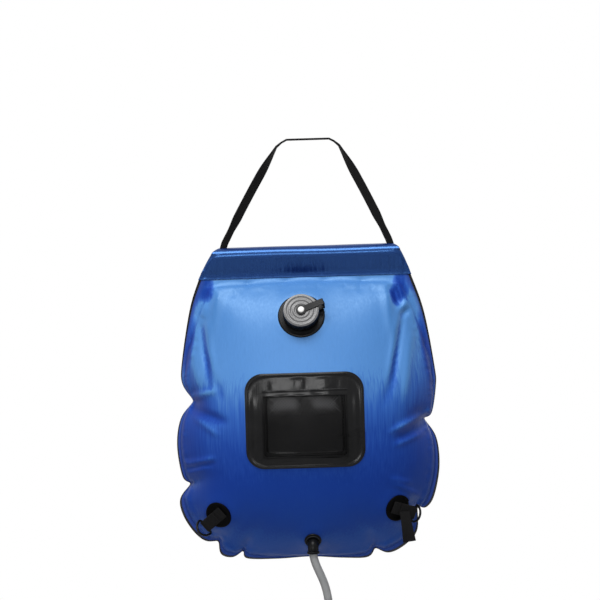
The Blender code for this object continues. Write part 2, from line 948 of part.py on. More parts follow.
def cap_leash():
    """Eye, arm and neck ring of the leash as one piece."""
    eye_low = leash_eye_low()
    bore = pin_radius + running_gap
    made = turned("cap_leash", ring_profile(bore, leash_eye_radius, eye_low,
                                            eye_low + leash_height),
                  dark_plastic(), filler_axis, leash_steps)
    arm_mesh = bpy.data.meshes.new("leash_arm")
    shape = bmesh.new()
    half = leash_width / 2
    outline = [shape.verts.new((reach, -half, height)) for reach, height in leash_outline()]
    face = shape.faces.new(outline)
    grown = bmesh.ops.extrude_face_region(shape, geom=[face])
    moved = [part for part in grown["geom"] if isinstance(part, bmesh.types.BMVert)]
    bmesh.ops.translate(shape, vec=(0, leash_width, 0), verts=moved)
    bmesh.ops.recalc_face_normals(shape, faces=shape.faces)
    shape.to_mesh(arm_mesh)
    shape.free()
    arm = as_cutter(add_object("leash_arm", arm_mesh, None, filler_axis, cutters))
    arm.rotation_euler = (0, 0, leash_angle)
    cut(made, arm, "UNION")
    low = leash_low()
    ring_inner = neck_radius + running_gap
    ring_outer = neck_radius + leash_ring_width + film
    ring = turned("leash_ring", ring_profile(ring_inner, ring_outer, low, low + leash_height),
                  None, filler_axis, filler_steps, cutters)
    cut(made, as_cutter(ring), "UNION")
    eye_bore = rod("leash_eye_bore", bore, eye_low - cut_overrun / 4, eye_low + cut_overrun,
                   None, filler_axis, leash_steps, cutters)
    cut(made, as_cutter(eye_bore))
    return made


def rounded_rectangle(width, height, corner, corner_steps, side_steps):
    """Points round a rectangle with round corners, anticlockwise from the right side."""
    points = []
    half_w, half_h = width / 2, height / 2
    centres = ((1, 1), (-1, 1), (-1, -1), (1, -1))
    for quarter, (sx, sz) in enumerate(centres):
        cx, cz = sx * (half_w - corner), sz * (half_h - corner)
        for step in range(corner_steps + 1):
            angle = math.pi / 2 * (quarter + step / corner_steps)
            points.append(Vector((cx + corner * math.cos(angle), cz + corner * math.sin(angle))))
        side_length = (width if quarter % 2 == 0 else height) - 2 * corner
        heading = Vector((-sx, 0)) if quarter % 2 == 0 else Vector((0, -sz))
        for step in range(1, side_steps):
            points.append(points[-step] + heading * side_length * step / side_steps)
    return points


def pocket_z():
    return drop_to_z(pocket_drop)


def on_pocket(x, z, lift):
    """A point over the front sheet, its X counted from the pocket's middle."""
    return lifted(pocket_shift + x, z, lift)


def pocket_backing():
    """The black patch, with a raised rim pressed into it by the weld."""
    outline = rounded_rectangle(pocket_width, pocket_height, pocket_corner,
                                pocket_corner_steps, pocket_side_steps)
    rim = pocket_rim_width / (pocket_width / 2)
    sections = [(1, 0)]
    sections += [(1 - rim * inward, raised) for inward, raised in pocket_rim_shares]
    sections += [(share, 0) for share in pocket_inner_shares]
    rows = []
    for share, raised in sections:
        lift = drape_lift + raised * pocket_rim_height
        rows.append([on_pocket(p.x * share, pocket_z() + p.y * share, lift) for p in outline])
    tip = on_pocket(0, pocket_z(), drape_lift)
    made = add_object("pocket_backing", surface_mesh("pocket_backing", rows, closed=True,
                                                     centre=tip), dark_film(), bag_axis)
    thicken(made, pocket_film, 1)
    smooth_shade(made)
    return made


def net_centre_z():
    return pocket_z() - net_drop


def border_low():
    return drape_lift + pocket_film + seat_gap * 2


def net_lift():
    return border_low() + pocket_mouth_depth + seat_gap


def pocket_border_strip():
    """The raised border on the left, bottom and right that carries the mesh."""
    half_w = net_width / 2 - pocket_border / 2
    top = net_centre_z() + net_height / 2 + binding_height
    low = net_centre_z() - net_height / 2 + pocket_border / 2
    corner = pocket_border
    path = []
    for step in range(border_side_steps + 1):
        z = top + (low + corner - top) * step / border_side_steps
        path.append((Vector((-half_w, z)), Vector((1, 0))))
    for step in range(1, border_corner_steps + 1):
        angle = math.pi + math.pi / 2 * step / border_corner_steps
        turn = Vector((math.cos(angle), math.sin(angle)))
        path.append((Vector((-half_w + corner, low + corner)) + turn * corner, -turn))
    for step in range(1, border_bottom_steps):
        x = -half_w + corner + (2 * half_w - 2 * corner) * step / border_bottom_steps
        path.append((Vector((x, low)), Vector((0, 1))))
    for step in range(border_corner_steps + 1):
        angle = -math.pi / 2 + math.pi / 2 * step / border_corner_steps
        turn = Vector((math.cos(angle), math.sin(angle)))
        path.append((Vector((half_w - corner, low + corner)) + turn * corner, -turn))
    for step in range(1, border_side_steps + 1):
        z = low + corner + (top - low - corner) * step / border_side_steps
        path.append((Vector((half_w, z)), Vector((-1, 0))))
    half = pocket_border / 2
    high = border_low() + pocket_mouth_depth
    rings = []
    for point, inward in path:
        inner, outer = point + inward * half, point - inward * half
        corners = ((outer, border_low()), (inner, border_low()), (inner, high), (outer, high))
        rings.append([on_pocket(spot.x, spot.y, lift) for spot, lift in corners])
    made = add_object("pocket_border", closed_loft("pocket_border", rings),
                      dark_film(), bag_axis)
    return made


def pocket_mesh():
    """A flat net: a grid whose cells are inset and opened, then thickened."""
    mesh = bpy.data.meshes.new("pocket_mesh")
    shape = bmesh.new()
    rows = []
    for j in range(net_rows + 1):
        z = net_centre_z() - net_height / 2 + net_height * j / net_rows
        row = []
        for i in range(net_columns + 1):
            x = -net_width / 2 + net_width * i / net_columns
            row.append(shape.verts.new(on_pocket(x, z, net_lift())))
        rows.append(row)
    for low_row, high_row in zip(rows, rows[1:]):
        for i in range(net_columns):
            shape.faces.new((low_row[i], low_row[i + 1], high_row[i + 1], high_row[i]))
    cells = list(shape.faces)
    shape.normal_update()
    bmesh.ops.inset_individual(shape, faces=cells, thickness=net_bar / 2, use_even_offset=True)
    bmesh.ops.delete(shape, geom=cells, context="FACES")
    shape.to_mesh(mesh)
    shape.free()
    made = add_object("pocket_mesh", mesh, dark_film(), bag_axis)
    thicken(made, net_thickness, 1)
    return made


def pocket_binding():
    """The band along the pocket's mouth."""
    low = net_centre_z() + net_height / 2 + seat_gap
    rows = []
    for j in range(binding_rows + 1):
        z = low + (binding_height - seat_gap) * j / binding_rows
        row = []
        for i in range(binding_columns + 1):
            x = -net_width / 2 + net_width * i / binding_columns
            row.append(on_pocket(x, z, net_lift()))
        rows.append(row)
    made = add_object("pocket_binding", surface_mesh("pocket_binding", rows), dark_film(),
                      bag_axis)
    thicken(made, net_thickness + film, 1)
    return made


def anchor_spot(side_sign):
    """Middle of the left (-1) or the right (1) anchor on the front sheet."""
    inset = left_anchor_inset if side_sign < 0 else right_anchor_inset
    rise_share = left_anchor_rise_share if side_sign < 0 else right_anchor_rise_share
    return side_sign * (body_width / 2 - inset), rise_to_z(rise_share * body_height)


def anchor_frame(side_sign, turn_angle):
    """Axes of one anchor: X along the ring's bar, Y from the ring up the tab, Z outward."""
    place, turn = front_frame(*anchor_spot(side_sign))
    return place, turn @ Matrix.Rotation(turn_angle, 3, "Z")


def tab_path():
    """The tab's folded run in the plane across the bar, as (along, height) points."""
    low = drape_lift + anchor_film + seat_gap + tab_thickness / 2
    loop = ring_wire_radius + running_gap + tab_thickness / 2
    high = low + 2 * loop
    path = [(tab_start, low), (0, low), (-ring_offset, low)]
    for step in range(1, tab_fold_steps + 1):
        angle = -math.pi / 2 - math.pi * step / tab_fold_steps
        path.append((-ring_offset + loop * math.cos(angle), low + loop + loop * math.sin(angle)))
    pinch = low + tab_thickness + seat_gap
    path.append((-ring_offset + loop * 2, (high + pinch) / 2))
    path.append((-ring_offset + loop * 4, pinch))
    path.append((-ring_offset + loop * 4 + tab_return, pinch))
    return path, low + loop


def anchor_tab(name, axis):
    path, _ = tab_path()
    rows = []
    for end in (-1, 0, 1):
        rows.append([Vector((end * tab_width / 2, along, height)) for along, height in path])
    made = add_object(name, surface_mesh(name, rows), webbing(), axis)
    thicken(made, tab_thickness, 0)
    return made


def d_ring(name, axis):
    """A D of round wire: the bar lies on the axis, the bow hangs below it."""
    width = ring_inner_width / 2 + ring_wire_radius
    depth = ring_inner_depth + 2 * ring_wire_radius
    corner = ring_wire_radius * ring_corner_share
    bow_start = corner * bow_start_share
    points = [Vector((width - corner, 0, 0)), Vector((0, 0, 0)), Vector((corner - width, 0, 0))]
    for step in range(bow_steps + 1):
        angle = math.pi + math.pi * step / bow_steps
        drop = bow_start - (depth - bow_start) * math.sin(angle)
        points.append(Vector((width * math.cos(angle), -drop, 0)))
    curve = bpy.data.curves.new(name, "CURVE")
    curve.dimensions = "3D"
    spline = curve.splines.new("POLY")
    spline.points.add(len(points) - 1)
    for knot, point in zip(spline.points, points):
        knot.co = (*point, 1)
    spline.use_cyclic_u = True
    curve.bevel_depth = ring_wire_radius
    curve.bevel_resolution = 2
    return add_object(name, curve, dark_plastic(), axis)


def hanging_turn(turn):
    """The ring's turn about its bar: hanging lowest, then lifted off by the ring's turn."""
    bar = turn.col[0]
    down = Vector((0, 0, -1))
    fall = (down - bar * down.dot(bar)).normalized()
    back = -fall
    out = bar.cross(back)
    return Matrix((bar, back, out)).transposed() @ Matrix.Rotation(ring_turn, 3, "X")


def anchor(word, side_sign, turn_angle):
    draped_disc(f"{word}_anchor_patch", *anchor_spot(side_sign), 0, anchor_radius, drape_lift,
                anchor_film, dark_film(), anchor_steps, anchor_rings)
    place, turn = anchor_frame(side_sign, turn_angle)
    axis = add_axis(f"{word}_anchor_axis", place, turn, bag_axis)
    anchor_tab(f"{word}_anchor_tab", axis)
    _, bar_height = tab_path()
    bar_place = place + turn @ Vector((0, -ring_offset, bar_height))
    ring_axis = add_axis(f"{word}_ring_axis", bar_place, hanging_turn(turn), bag_axis)
    d_ring(f"{word}_d_ring", ring_axis)


def strap_tail():
    """The free end of webbing that hangs at the right anchor."""
    place, turn = anchor_frame(1, 0)
    side, up, outward = turn.col
    lift = drape_lift + anchor_film + tab_thickness * 2 + seat_gap * 3 + tail_thickness / 2
    across_start, up_start = [anchor_radius * share for share in tail_start_shares]
    start = place + side * across_start + up * up_start + outward * lift
    rows = []
    for across_share in (-0.5, 0.0, 0.5):
        row = []
        for step in range(tail_steps + 1):
            t = step / tail_steps
            width = tail_width + tail_flare * t * t
            across = side.lerp(Vector((1, 0, 0)), t).normalized() * width * across_share
            sway = Vector((tail_flare * 2 * t, -tail_flare * math.sin(math.pi * t), 0))
            row.append(start + across + sway + Vector((0, 0, -tail_length * t)))
        rows.append(row)
    made = add_object("right_strap_tail", surface_mesh("right_strap_tail", rows), webbing(),
                      bag_axis)
    thicken(made, tail_thickness, 0)
    return made


def outlet_flange():
    inner = spigot_radius + running_gap
    return draped_disc("outlet_flange", outlet_shift, rise_to_z(outlet_rise), inner,
                       outlet_flange_radius, drape_lift, outlet_flange_film, dark_plastic(),
                       outlet_steps, outlet_flange_rings)


def washer_low():
    return drape_lift + outlet_flange_film + 2 * seat_gap


def spigot_collar_low():
    return washer_low() + washer_height + seat_gap


def outlet_washer():
    low = washer_low()
    inner = spigot_radius + running_gap
    return turned("outlet_washer", ring_profile(inner, spigot_collar, low, low + washer_height),
                  white(), outlet_axis, outlet_steps)


def outlet_spigot():
    low = spigot_collar_low()
    high = low + spigot_collar_height
    top = high + spigot_length
    profile = ((spigot_bore, top), (spigot_radius, top), (spigot_radius, high),
               (spigot_collar, high), (spigot_collar, low), (spigot_radius, low),
               (spigot_radius, -spigot_depth), (spigot_bore, -spigot_depth))
    return turned("outlet_spigot", profile, dark_plastic(), outlet_axis, outlet_steps)


def elbow_start():
    return outlet_axis.matrix_basis @ Vector((0, 0, spigot_collar_low() + spigot_collar_height
                                              + seat_gap))


def elbow_route():
    """From the spigot's collar along its axis, and round to straight down."""
    outward = outlet_axis.matrix_basis.to_3x3().col[2]
    start = elbow_start()
    knee = start + outward * (spigot_length + seat_gap + elbow_bend * elbow_knee_share)
    down = Vector((0, 0, -1))
    route = [start, start + outward * spigot_length]
    for step in range(1, elbow_steps + 1):
        t = step / elbow_steps
        a = start + outward * spigot_length
        c = knee + down * elbow_bend
        route.append(a * (1 - t) ** 2 + knee * 2 * t * (1 - t) + c * t * t)
    route.append(route[-1] + down * elbow_drop)
    return route


def elbow_mouth():
    return elbow_route()[-1]


def tube_mesh(name, route, radius, resolution):
    """A bevelled curve along a route, turned into a welded mesh."""
    curve = bpy.data.curves.new(name, "CURVE")
    curve.dimensions = "3D"
    spline = curve.splines.new("POLY")
    spline.points.add(len(route) - 1)
    for knot, point in zip(spline.points, route):
        knot.co = (*point, 1)
    curve.bevel_depth = radius
    curve.bevel_resolution = resolution
    curve.use_fill_caps = True
    drawn = add_object(name + "_route", curve, None, None, cutters)
    bpy.context.view_layer.update()
    evaluated = drawn.evaluated_get(bpy.context.evaluated_depsgraph_get())
    mesh = bpy.data.meshes.new_from_object(evaluated)
    bpy.data.objects.remove(drawn, do_unlink=True)
    shape = bmesh.new()
    shape.from_mesh(mesh)
    bmesh.ops.remove_doubles(shape, verts=shape.verts, dist=radius * weld_share)
    bmesh.ops.recalc_face_normals(shape, faces=shape.faces)
    shape.to_mesh(mesh)
    shape.free()
    mesh.materials.clear()
    mesh.name = name
    return mesh


def outlet_elbow():
    """A moulded bend that sits over the spigot, bored from end to end."""
    route = elbow_route()
    made = add_object("outlet_elbow", tube_mesh("outlet_elbow", route, elbow_radius, 4),
                      dark_plastic(), bag_axis)
    socket = rod("elbow_socket", spigot_radius + running_gap, -cut_overrun,
                 spigot_collar_low() + spigot_collar_height + spigot_length + 2 * seat_gap, None,
                 outlet_axis, outlet_steps, cutters)
    cut(made, as_cutter(socket))
    down = Vector((0, 0, -1))
    bore_route = [*route[1:-1], route[-1] + down * cut_overrun]
    bore = add_object("elbow_bore", tube_mesh("elbow_bore", bore_route, spigot_bore, 3), None,
                      bag_axis, cutters)
    cut(made, as_cutter(bore))
    smooth_shade(made)
    return made


def hose_centres():
    mouth = elbow_mouth() + Vector((0, 0, -seat_gap))
    chosen = [mouth + Vector(step) for step in hose_route]
    fine = smooth_run(chosen, hose_span_steps)
    lengths = [0]
    for a, b in zip(fine, fine[1:]):
        lengths.append(lengths[-1] + (b - a).length)
    total = lengths[-1]
    first = hose_collar_height * collar_straight_share
    bent = total - first - tap_collar_height * collar_straight_share
    stations = [first + bent * i / (hose_points - 3) for i in range(hose_points - 2)]
    centres = []
    at = 0
    for wanted in (0, *stations, total):
        while at < len(fine) - 2 and lengths[at + 1] < wanted:
            at += 1
        span = max(lengths[at + 1] - lengths[at], seat_gap * weld_share)
        centres.append(fine[at].lerp(fine[at + 1], (wanted - lengths[at]) / span))
    return centres


def hose():
    made = add_object("hose", tube_mesh("hose", hose_centres(), hose_radius, 3), clear(), bag_axis)
    smooth_shade(made)
    return made


def hose_collar():
    """The ring that clamps the hose under the elbow."""
    inner = hose_radius + running_gap
    outer = inner + collar_wall
    low = -hose_collar_height - seat_gap
    made = turned("hose_collar", ring_profile(inner, outer, low, -seat_gap), dark_plastic(),
                  hose_axis, outlet_steps)
    return made


def tap_collar():
    inner = hose_radius + running_gap
    outer = inner + collar_wall
    high = seat_gap + tap_collar_height
    return turned("tap_collar", ring_profile(inner, outer, seat_gap, high), dark_plastic(),
                  head_axis, outlet_steps)


def spindle_height():
    return -tap_length * tap_drop_share


def tap_body():
    """A turned body with a side boss, a water way and a cross bore for the spindle."""
    neck = hose_radius + running_gap + collar_wall
    soft = tap_radius * tap_soft_share
    profile = ((tap_bore, 0), (neck, 0), (tap_radius, -collar_wall),
               (tap_radius, -tap_length + soft), (tap_radius - soft, -tap_length),
               (tap_bore, -tap_length))
    made = turned("tap_body", profile, dark_plastic(), head_axis, head_steps)
    boss = rod("tap_boss", tap_boss_radius, 0, tap_boss_reach, None, tap_axis, head_steps, cutters)
    cut(made, as_cutter(boss), "UNION")
    reach = tap_radius * spindle_reach_share
    way = rod("tap_spindle_bore", spindle_radius + running_gap, -reach,
              tap_boss_reach + cut_overrun, None, tap_axis, head_steps, cutters)
    cut(made, as_cutter(way))
    return made


def tap_spindle():
    """The plug with its cross hole, and a flange under the lever."""
    reach = tap_radius * spindle_reach_share - seat_gap
    high = tap_boss_reach + lever_gap
    made = rod("tap_spindle", spindle_radius, -reach, high, white(), tap_axis, head_steps)
    port = rod("tap_port", tap_bore * spindle_port_share, -tap_radius, tap_radius, None,
               tap_axis, small_steps, cutters)
    port.rotation_euler = (math.pi / 2, 0, 0)
    cut(made, as_cutter(port))
    return made


def tap_lever():
    """A flat lever with a round hub and a rounded grip end."""
    low = tap_boss_reach + lever_gap + seat_gap
    outline = []
    hub = lever_width * lever_hub_share
    tip = lever_width / 2
    for step in range(lever_steps + 1):
        angle = math.pi + math.pi * step / lever_steps
        outline.append(Vector((hub * math.cos(angle), hub * math.sin(angle))))
    for step in range(lever_steps + 1):
        angle = math.pi * step / lever_steps
        outline.append(Vector((tip * math.cos(angle), lever_length + tip * math.sin(angle))))
    rings = [[Vector((p.x, p.y, height)) for p in outline] for height in
             (low, low + lever_thickness)]
    made = add_object("tap_lever", closed_loft("tap_lever", rings), white(), tap_axis)
    hole = rod("lever_hole", screw_radius + running_gap, low - cut_overrun / 4,
               low + lever_thickness + cut_overrun, None, tap_axis, small_steps, cutters)
    cut(made, as_cutter(hole))
    return made


def lever_screw():
    under = tap_boss_reach + lever_gap + 2 * seat_gap + lever_thickness
    low = tap_boss_reach + lever_gap + seat_gap
    top = under + screw_head_height
    profile = ((0, top), (screw_head_radius * screw_crown_share, top),
               (screw_head_radius, under + seat_gap), (screw_head_radius, under),
               (screw_radius, under), (screw_radius, low), (0, low))
    return turned("lever_screw", profile, metal(), tap_axis, small_steps)


def head_top():
    return -tap_length - seat_gap


def shower_head():
    """A thin bell whose mouth has a seat for the rose plate."""
    top = head_top()
    low = top - head_length
    seat = low + rose_thickness + seal_height + 2 * seat_gap
    lip = head_radius - head_wall / 2
    outer = []
    for reach_share, drop_share in flare_shares:
        reach = head_neck_radius + (head_radius - head_neck_radius) * reach_share
        outer.append((reach, top - head_length * drop_share))
    inner = [(reach - head_wall, min(height, top - head_wall)) for reach, height in outer[1:]]
    profile = [(tap_bore, top), *outer, (head_radius, low), (lip, low), (lip, seat),
               (head_radius - head_wall - rose_seat_width, seat),
               (head_radius - head_wall - rose_seat_width, seat + head_wall), *inner[-2::-1],
               (head_neck_radius - head_wall, top - head_wall), (tap_bore, top - head_wall)]
    return turned("shower_head", profile, dark_plastic(), head_axis, head_steps)


def rose_seal():
    low = head_top() - head_length + rose_thickness + seat_gap
    outer = head_radius - head_wall / 2 - running_gap
    inner = head_radius - head_wall - rose_seat_width
    return turned("rose_seal", ring_profile(inner, outer, low, low + seal_height),
                  white(), head_axis, head_steps)


def rose_plate():
    """The spray plate, with rings of holes."""
    low = head_top() - head_length
    high = low + rose_thickness
    outer = head_radius - head_wall / 2 - running_gap
    made = rod("rose_plate", outer, low, high, dark_plastic(), head_axis, head_steps)
    mesh = bpy.data.meshes.new("rose_holes")
    shape = bmesh.new()
    places = [Vector((0, 0, 0))]
    usable = head_radius - head_wall - 2 * rose_seat_width
    for ring, count in enumerate(rose_ring_counts):
        radius = usable * (ring + 1) / len(rose_ring_counts)
        for i in range(count):
            angle = math.tau * i / count
            places.append(Vector((radius * math.cos(angle), radius * math.sin(angle), 0)))
    for place in places:
        middle = Matrix.Translation(place + Vector((0, 0, (low + high) / 2)))
        bmesh.ops.create_cone(shape, cap_ends=True, segments=rose_hole_steps,
                              radius1=rose_hole_radius, radius2=rose_hole_radius,
                              depth=rose_thickness * 2, matrix=middle)
    shape.to_mesh(mesh)
    shape.free()
    cut(made, as_cutter(add_object("rose_holes", mesh, None, head_axis, cutters)))
    return made


def build_bag():
    back_panel()
    front_panel()
    top_sleeve()
    stiffener_tube()
    strap_core()


def build_filler():
    filler_flange()
    filler_neck()
    filler_cap()
    cap_gasket()
    cap_disc()
    cap_pin()
    cap_leash()


def build_pocket():
    pocket_backing()
    pocket_border_strip()
    pocket_mesh()
    pocket_binding()


def build_outlet():
    outlet_flange()
    outlet_washer()
    outlet_spigot()
    outlet_elbow()
    hose_collar()
    hose()


def build_head():
    tap_collar()
    tap_body()
    tap_spindle()
    tap_lever()
    lever_screw()
    shower_head()
    rose_seal()
    rose_plate()


clear_scene()
parts = new_collection("camp_shower_bag")
cutters = new_collection("cutters")
sleeve_radius = tube_radius + seat_gap + film
border = border_points()
border_polar = polar_border(border)

bag_axis = add_axis("bag_axis", Vector((-hand_shift, 0, 0)))
filler_place = front_frame(filler_shift, drop_to_z(filler_drop))
filler_axis = add_axis("filler_axis", *filler_place, bag_axis)
outlet_place = front_frame(outlet_shift, rise_to_z(outlet_rise))
outlet_axis = add_axis("outlet_axis", *outlet_place, bag_axis)
hose_axis = add_axis("hose_axis", elbow_mouth(), None, bag_axis)
head_axis = add_axis("head_axis", hose_centres()[-1] + Vector((0, 0, -seat_gap)), None, bag_axis)
tap_axis = add_axis("tap_axis", Vector((0, 0, spindle_height())),
                    Matrix.Rotation(math.pi / 2, 3, "X"), head_axis)

handle_strap()
build_bag()
build_filler()
build_pocket()
anchor("left", -1, left_tab_turn)
anchor("right", 1, right_tab_turn)
strap_tail()
build_outlet()
build_head()
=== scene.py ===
"""Looks of the camp shower bag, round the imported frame. Metres, +Z up, the front faces -Y."""

import math
from contextlib import contextmanager

import bmesh
import bpy
import numpy as np
from mathutils import Matrix, Vector
from mathutils.geometry import delaunay_2d_cdt


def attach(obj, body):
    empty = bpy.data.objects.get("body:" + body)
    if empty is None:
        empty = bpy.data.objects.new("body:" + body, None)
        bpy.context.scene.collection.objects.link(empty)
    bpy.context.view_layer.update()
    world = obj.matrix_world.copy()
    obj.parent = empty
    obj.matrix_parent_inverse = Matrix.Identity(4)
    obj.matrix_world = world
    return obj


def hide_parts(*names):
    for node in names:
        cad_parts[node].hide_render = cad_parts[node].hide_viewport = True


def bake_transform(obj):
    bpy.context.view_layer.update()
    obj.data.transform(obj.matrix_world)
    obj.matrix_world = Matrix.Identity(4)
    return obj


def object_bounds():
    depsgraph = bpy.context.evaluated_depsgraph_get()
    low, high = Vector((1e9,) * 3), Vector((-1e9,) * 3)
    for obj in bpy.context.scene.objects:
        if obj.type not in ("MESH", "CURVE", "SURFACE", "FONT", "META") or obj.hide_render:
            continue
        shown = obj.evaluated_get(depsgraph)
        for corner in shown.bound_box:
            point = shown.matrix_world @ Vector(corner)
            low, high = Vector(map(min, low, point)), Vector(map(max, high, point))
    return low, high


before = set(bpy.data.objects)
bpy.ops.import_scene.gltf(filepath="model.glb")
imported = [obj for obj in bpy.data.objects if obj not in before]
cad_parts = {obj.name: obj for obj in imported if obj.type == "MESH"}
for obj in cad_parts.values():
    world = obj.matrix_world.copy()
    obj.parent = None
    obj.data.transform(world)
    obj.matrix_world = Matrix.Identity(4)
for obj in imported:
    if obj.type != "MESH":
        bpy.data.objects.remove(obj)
cad_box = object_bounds()

# The bag's own X is measured from its middle, which hangs left of the hand
HAND_SHIFT = 0.0124
TOP = 0.154
WIDTH = 0.384
HEIGHT = 0.457
FRONT_DEPTH = 0.082
BACK_DEPTH = 0.096
LEAN = 0.036
SLEEVE_HEIGHT = 0.046
FILM = 0.0008
GAP = 0.0003
WELD = 0.0065
TOP_TUCK = 0.0145
POWER = 0.6
CENTRE_SHARE = 0.62
FADE = 6

LOBES = (
    ((-0.777, 0.079), (-0.868, 0.189), (-0.943, 0.361), (-0.945, 0.430), (-0.862, 0.486)),
    ((-0.862, 0.486), (-0.965, 0.542), (-0.999, 0.627), (-0.965, 0.727), (-0.902, 0.750)),
    ((-0.902, 0.750), (-0.988, 0.798), (-0.969, 0.851), (-0.892, 0.905), (-0.804, 0.936),
     (-0.705, 0.937)),
    ((-0.705, 0.937), (-0.690, 0.980), (-0.600, 0.991), (-0.516, 0.970)),
    ((-0.516, 0.970), (-0.494, 0.996), (-0.260, 1.000), (0.000, 0.996), (0.240, 1.003),
     (0.430, 1.003), (0.488, 0.974)),
    ((0.488, 0.974), (0.593, 0.991), (0.720, 0.966), (0.812, 0.921), (0.819, 0.842)),
    ((0.819, 0.842), (0.881, 0.850), (0.947, 0.814), (0.995, 0.720), (0.978, 0.626),
     (0.884, 0.561)),
    ((0.884, 0.561), (0.947, 0.547), (0.985, 0.460), (0.980, 0.400), (0.9085, 0.218),
     (0.800, 0.079)),
)
PIXEL = 0.00146
ROLL = 0.0297

# Where the fittings sit on the front sheet, in the bag's own X and Z
FILLER = (-0.0045, -TOP - 0.1020)
OUTLET = (0.0027, -TOP - HEIGHT + 0.0293)
ANCHORS = {"left": (-0.133, -TOP - HEIGHT * 0.8479), "right": (0.127, -TOP - HEIGHT * 0.8425)}
ANCHOR_RADIUS = 0.020
POCKET = (-0.0037, -TOP - 0.2525)
POCKET_SIZE = (0.171, 0.1367)

# The hose's route as part.py has it, from the elbow's mouth
HOSE_MOUTH = (-0.00979, -0.04095, -0.59699)
HOSE_RADIUS = 0.006
HOSE_ROUTE = (
    (0.0000, 0.0000, 0.0000), (0.0001, 0.0000, -0.0060), (0.0012, 0.0000, -0.0120),
    (0.0033, 0.0000, -0.0190), (0.0061, 0.0000, -0.0260), (0.0091, 0.0000, -0.0330),
    (0.0120, 0.0000, -0.0400), (0.0149, 0.0000, -0.0480), (0.0171, 0.0000, -0.0560),
    (0.0187, 0.0000, -0.0640), (0.0199, 0.0000, -0.0720), (0.0209, 0.0002, -0.0800),
    (0.0219, 0.0010, -0.0900), (0.0229, 0.0031, -0.1040), (0.0236, 0.0075, -0.1220),
    (0.0234, 0.0173, -0.1500), (0.0220, 0.0303, -0.1800), (0.0195, 0.0440, -0.2100),
    (0.0164, 0.0566, -0.2400), (0.0131, 0.0660, -0.2700), (0.0098, 0.0709, -0.3000),
    (0.0069, 0.0720, -0.3300), (0.0049, 0.0720, -0.3600), (0.0041, 0.0720, -0.3800),
    (0.0040, 0.0720, -0.3920), (0.0040, 0.0720, -0.4040),
)


def from_photo(x, y):
    """A place in the photograph as the bag's own X and Z."""
    flat_x = x - ROLL * (y - 403)
    flat_y = y + ROLL * (x - 308)
    return (flat_x - 307) * PIXEL, -(flat_y - 140) * PIXEL


# Camera, stage and light

def aim_camera():
    data = bpy.data.cameras.new("camera")
    data.sensor_width = 36
    distance = 4.5
    data.lens = 36 * distance / (600 * PIXEL)
    data.clip_end = 60
    camera = bpy.data.objects.new("camera", data)
    bpy.context.scene.collection.objects.link(camera)
    x, z = from_photo(300, 300)
    right = Vector((math.cos(ROLL), 0, -math.sin(ROLL)))
    up = Vector((math.sin(ROLL), 0, math.cos(ROLL)))
    back = right.cross(up)
    place = Vector((x - HAND_SHIFT, 0, z)) + back * distance
    turn = Matrix((right, up, back)).transposed().to_4x4()
    camera.matrix_world = Matrix.Translation(place) @ turn
    bpy.context.scene.camera = camera


def seen_directly(tree):
    """1 for rays that the camera, a gloss or a clear piece sends out, 0 for others."""
    path = tree.nodes.new("ShaderNodeLightPath")
    seen = path.outputs["Is Camera Ray"]
    for kind in ("Is Glossy Ray", "Is Transmission Ray"):
        some = tree.nodes.new("ShaderNodeMath")
        some.operation = "MAXIMUM"
        tree.links.new(seen, some.inputs[0])
        tree.links.new(path.outputs[kind], some.inputs[1])
        seen = some.outputs[0]
    return seen


def build_stage():
    """A pale floor that ends before the camera's view reaches it; the white world is behind."""
    mesh = bpy.data.meshes.new("floor")
    low = cad_box[0][2] - 0.02
    mesh.from_pydata([(-4, -4, low), (4, -4, low), (4, 3.8, low), (-4, 3.8, low)], [],
                     [(0, 1, 2, 3)])
    floor = bpy.data.objects.new("floor", mesh)
    bpy.context.scene.collection.objects.link(floor)
    made = bpy.data.materials.new("floor_pale")
    made.use_nodes = True
    tree = made.node_tree
    shader = tree.nodes["Principled BSDF"]
    shader.inputs["Roughness"].default_value = 0.9
    shade = tree.nodes.new("ShaderNodeMix")
    shade.data_type = "RGBA"
    shade.inputs["A"].default_value = (0.30, 0.30, 0.30, 1)
    shade.inputs["B"].default_value = (0.86, 0.86, 0.86, 1)
    tree.links.new(seen_directly(tree), shade.inputs["Factor"])
    tree.links.new(shade.outputs["Result"], shader.inputs["Base Color"])
    mesh.materials.append(made)


def area_light(name, place, target, size, power, size_y=None):
    data = bpy.data.lights.new(name, "AREA")
    data.energy = power
    data.size = size
    if size_y:
        data.shape = "RECTANGLE"
        data.size_y = size_y
    lamp = bpy.data.objects.new(name, data)
    bpy.context.scene.collection.objects.link(lamp)
    lamp.location = place
    lamp.rotation_euler = (Vector(target) - Vector(place)).to_track_quat("-Z", "Y").to_euler()


def light_scene():
    """A softbox nearly overhead, and a world that is white to the eye and dimmer as a lamp."""
    world = bpy.data.worlds.new("world")
    bpy.context.scene.world = world
    world.use_nodes = True
    tree = world.node_tree
    back = tree.nodes["Background"]
    back.inputs["Color"].default_value = (1, 1, 1, 1)
    level = tree.nodes.new("ShaderNodeMapRange")
    level.inputs["To Min"].default_value = 0.22
    level.inputs["To Max"].default_value = 1.0
    tree.links.new(seen_directly(tree), level.inputs["Value"])
    tree.links.new(level.outputs[0], back.inputs["Strength"])
    middle = (0, 0, -0.4)
    area_light("softbox", (-0.25, -1.45, 2.05), middle, 1.7, 84, 1.0)
    area_light("front", (-0.35, -3.3, 0.42), middle, 1.4, 34, 0.60)
    area_light("side", (-2.2, -1.7, 0.1), middle, 0.8, 7)
    area_light("rim", (1.6, 2.2, 0.9), middle, 1.4, 16)


# Materials

